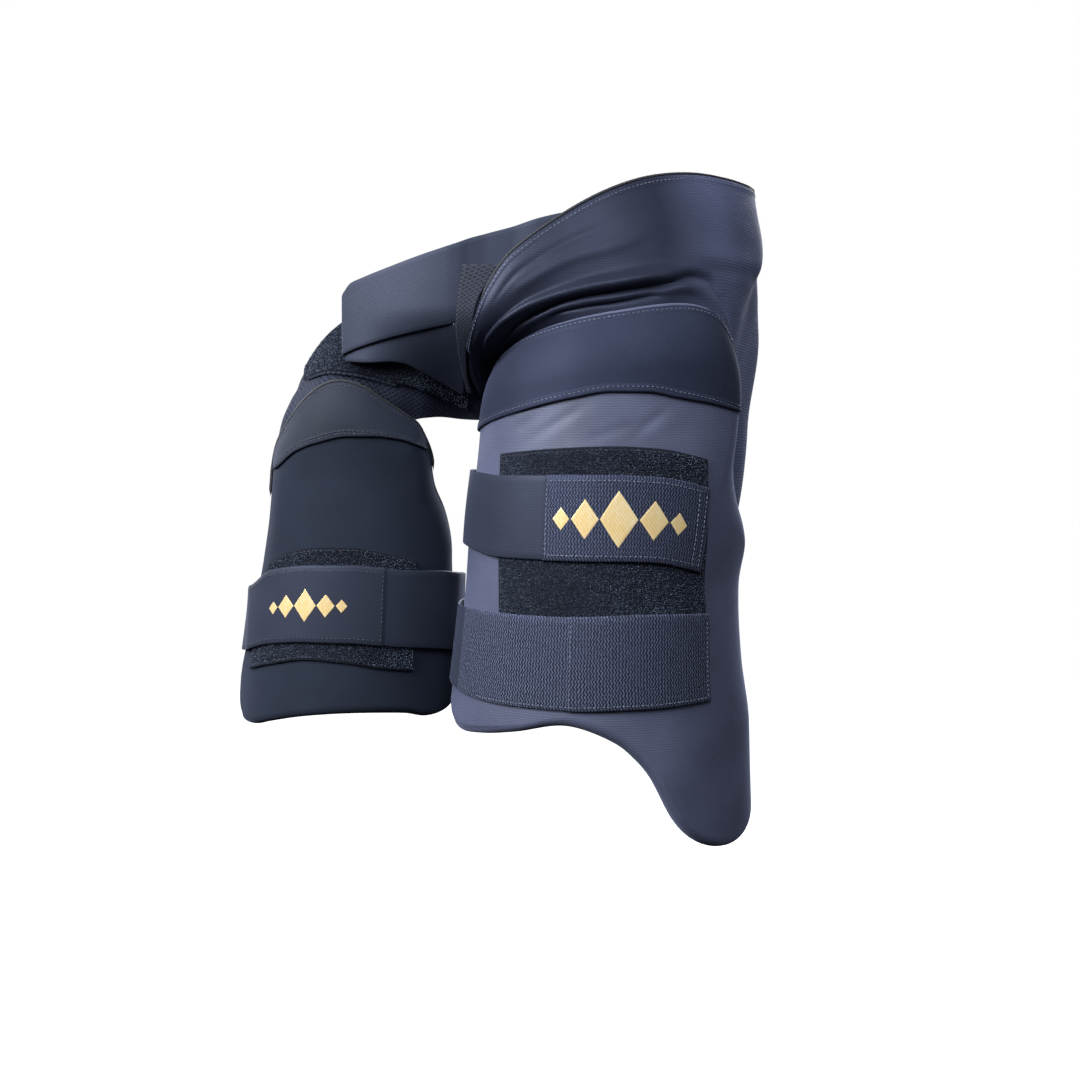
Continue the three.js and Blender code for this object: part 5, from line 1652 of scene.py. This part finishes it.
def over_strap(surface, tab, angle):
    angles = np.full(CROSS_ROW_POINTS, angle)
    up = np.linspace(0.03, 0.97, CROSS_ROW_POINTS)
    return placed(surface, angles, up, STRAP_THICKNESS + tab_rise(angles, tab))


def skin_row(surface, up, low=0.01, high=0.99):
    lift = SKIN_THICKNESS + SEAM_FOLD_HEIGHT * HEM_STITCH_HEIGHT
    return placed(surface, np.linspace(low, high, ROW_POINTS), np.full(ROW_POINTS, up), lift)


def hem_row(inside):
    """Along the hip panel's hem, a distance in from its free edge."""
    row = np.linspace(0.15, REAR_TOP_ROW, HEM_ROW_POINTS)
    width = np.linalg.norm(hip_point(row, 1.0) - hip_point(row, 0.0), axis=-1)
    return placed(hip_point, row, 1 - inside / width, PANEL_THICKNESS + SEAM_FOLD_HEIGHT * HEM_STITCH_HEIGHT)


def patch_row(surface, firsts, seconds):
    first = np.linspace(*firsts, PATCH_ROW_POINTS)
    return placed(surface, first, np.linspace(*seconds, PATCH_ROW_POINTS), LOOP_THICKNESS)


def make_stitching():
    thread = sewing_thread("pale_polyester_thread", "#4a5063", "#7d859e")
    dull_thread = sewing_thread("dark_polyester_thread", "#1f2430", "#3b4153")
    sew("outer_cap_stitches", [skin_row(outer_cap, 0.965), skin_row(outer_cap, 0.05)], thread, "shiny_knit")
    sew("inner_panel_stitches", [
        skin_row(inner_cap, 0.95),
        skin_row(inner_cap, 0.05),
        skin_row(inner_cap, 0.10)], dull_thread, "inner_cloth")
    sew("hip_hem_stitches", [hem_row(HIP_HEM_INSET)], thread, "shiny_knit")
    sew("upper_strap_stitches", [
        over_strap(outer_upper, UPPER_TAB, UPPER_TAB[0] + 1.0),
        over_strap(outer_upper, UPPER_TAB, UPPER_TAB[1] - 1.6),
        over_strap(outer_upper, UPPER_TAB, UPPER_TAB[1] - 4.4),
        along_strap(outer_upper, UPPER_TAB, (UPPER_TAB[0] + 1.5, UPPER_TAB[1] - 2), 0.95),
        along_strap(outer_upper, UPPER_TAB, (UPPER_TAB[0] + 1.5, UPPER_TAB[1] - 2), 0.05)], thread, "elastic")
    sew("lower_strap_stitches", [
        over_strap(outer_lower, LOWER_TAB, LOWER_TAB[0] + 0.6),
        over_strap(outer_lower, LOWER_TAB, LOWER_TAB[1] - 1.6),
        along_strap(outer_lower, LOWER_TAB, (-52, LOWER_TAB[1] - 2), 0.03)], thread, "elastic")
    sew("inner_strap_stitches", [
        over_strap(inner_strap, INNER_TAB, INNER_TAB[1] - 1.0),
        along_strap(inner_strap, INNER_TAB, (-58, INNER_TAB[1] - 2), 0.95),
        along_strap(inner_strap, INNER_TAB, (-58, INNER_TAB[1] - 2), 0.05)], dull_thread, "elastic")
    sew("patch_stitches", [
        patch_row(outer_patch, (0.01, 0.99), (0.985, 0.985)),
        patch_row(outer_patch, (0.99, 0.99), (0.02, 0.98)),
        patch_row(outer_patch, (0.01, 0.01), (0.02, 0.98)),
        patch_row(inner_patch, (0.01, 0.99), (0.98, 0.98)),
        patch_row(inner_patch, (0.01, 0.99), (0.02, 0.02))], dull_thread, "loop_pile")


# FOIL
FOIL_THICKNESS = 0.08
FOIL_CLEARANCE = 0.03
FOIL_STEPS = 15
# The lozenges of a row: place along it, half-length and half-height, as shares of the row's half
LOZENGES = [
    (-0.87, 0.13, 0.40),
    (-0.50, 0.21, 0.70),
    (0.0, 0.27, 1.0),
    (0.50, 0.21, 0.70),
    (0.87, 0.13, 0.40),
]


def lozenge_row(surface, tab, angles, middle, half_height):
    """Thin foil lozenges along a strap, pressed onto its tab."""
    parts, places = [], []
    steps = np.linspace(-1, 1, FOIL_STEPS)
    one, other = lattice(steps, steps)
    along, over = (one + other) / 2, (other - one) / 2
    centre, half = (angles[0] + angles[1]) / 2, (angles[1] - angles[0]) / 2
    for place, length, height in LOZENGES:
        angle = centre + half * (place + along * length)
        lift = STRAP_THICKNESS + tab_rise(angle, tab) + FOIL_CLEARANCE
        grid = placed(surface, angle, middle + over * height * half_height, lift)[0]
        points, flat, faces = cloth_shell(grid, laid_flat(grid), FOIL_THICKNESS)
        parts.append((points, faces))
        places.append(flat)
    points, faces = joined(parts)
    return points, np.concatenate(places), faces


def make_foil():
    material = gold_foil()
    for name, surface, tab, angles, middle, half_height in (
            ("upper_strap_foil", outer_upper, UPPER_TAB, (-21, 26), 0.49, 0.34),
            ("inner_strap_foil", inner_strap, INNER_TAB, (-34, 4), 0.48, 0.22)):
        new_piece(name, *lozenge_row(surface, tab, angles, middle, half_height), material, "elastic")


# ROOM
# Places in metres; the camera's tip is degrees down from level
CAMERA_PLACE = (0.0105, -0.9, -0.143)
CAMERA_TIP = 3.49
CAMERA_LENS = 35.57
SENSOR_WIDTH = 36
FLOOR_Z = -1.1
FLOOR_HALF = 4
LIT_MIDDLE = (0, -0.06, -0.15)
# Name, place, width in metres, power in watts and colour of each lamp
LAMPS = [
    ("key", (-1.15, -1.0, 0.65), 1.0, 52, "#ffffff"),
    ("front", (0.22, -1.25, 0.85), 0.9, 16, "#f4f7ff"),
    ("back", (0.5, 1.4, 0.8), 1.2, 46, "#ffffff"),
    ("right", (-1.5, 0.9, 0.3), 0.9, 12, "#ffffff"),
]
# Strength of the room's own light, below and above
ROOM_GLOW = (0.015, 0.2)


def make_room():
    camera = bpy.data.cameras.new("camera")
    camera.lens = CAMERA_LENS
    camera.sensor_width = SENSOR_WIDTH
    holder = bpy.data.objects.new("camera", camera)
    holder.location = CAMERA_PLACE
    holder.rotation_euler = (math.radians(90 - CAMERA_TIP), 0, 0)
    bpy.context.scene.collection.objects.link(holder)
    bpy.context.scene.camera = holder

    corners = [(-1, -1), (1, -1), (1, 1), (-1, 1)]
    points = [(x * FLOOR_HALF, y * FLOOR_HALF, FLOOR_Z) for x, y in corners]
    mesh = bpy.data.meshes.new("floor")
    mesh.from_pydata(points, [], [(0, 1, 2, 3)])
    mesh.uv_layers.new(name="laid_flat")
    mesh.materials.append(white_floor_paint())
    floor = bpy.data.objects.new("floor", mesh)
    bpy.context.scene.collection.objects.link(floor)
    floor.visible_diffuse = False
    floor.visible_glossy = False


def add_light(name, place, target, size, power, colour):
    light = bpy.data.lights.new(name, "AREA")
    light.shape = "DISK"
    light.size = size
    light.energy = power
    light.color = srgb(colour)[:3]
    holder = bpy.data.objects.new(name, light)
    holder.location = place
    holder.rotation_euler = (Vector(target) - Vector(place)).to_track_quat("-Z", "Y").to_euler()
    bpy.context.scene.collection.objects.link(holder)


def light_room():
    for name, place, size, power, colour in LAMPS:
        add_light(name, place, LIT_MIDDLE, size, power, colour)
    world = bpy.data.worlds.new("studio")
    world.use_nodes = True
    tree = world.node_tree
    tree.nodes.clear()
    height = node(tree, "SeparateXYZ", {"Vector": node(tree, "TexCoord").outputs["Generated"]}).outputs["Z"]
    glow_range = {"Value": height, "From Min": -0.5, "From Max": 0.7, "To Min": ROOM_GLOW[0],
                  "To Max": ROOM_GLOW[1]}
    around = node(tree, "MapRange", glow_range).outputs["Result"]
    seen = node(tree, "LightPath").outputs["Is Camera Ray"]
    strength = node(tree, "Math", {0: around, 1: seen}, operation="MAXIMUM").outputs["Value"]
    glow = node(tree, "Background", {"Color": srgb("#ffffff"), "Strength": strength})
    node(tree, "OutputWorld", {"Surface": glow.outputs["Background"]})
    bpy.context.scene.world = world
    bpy.context.scene.view_settings.view_transform = "Standard"


for make in (make_pads, make_skins, make_patches, make_thigh_straps, make_pile, make_hip_panel,
             make_hip_lining, make_hip_binding, make_waist_mesh, make_loop_band, make_waist_strap,
             make_back_band, make_inner_seam_shadow_cord, make_band_piping, make_stitching, make_foil, make_room,
             light_room):
    make()
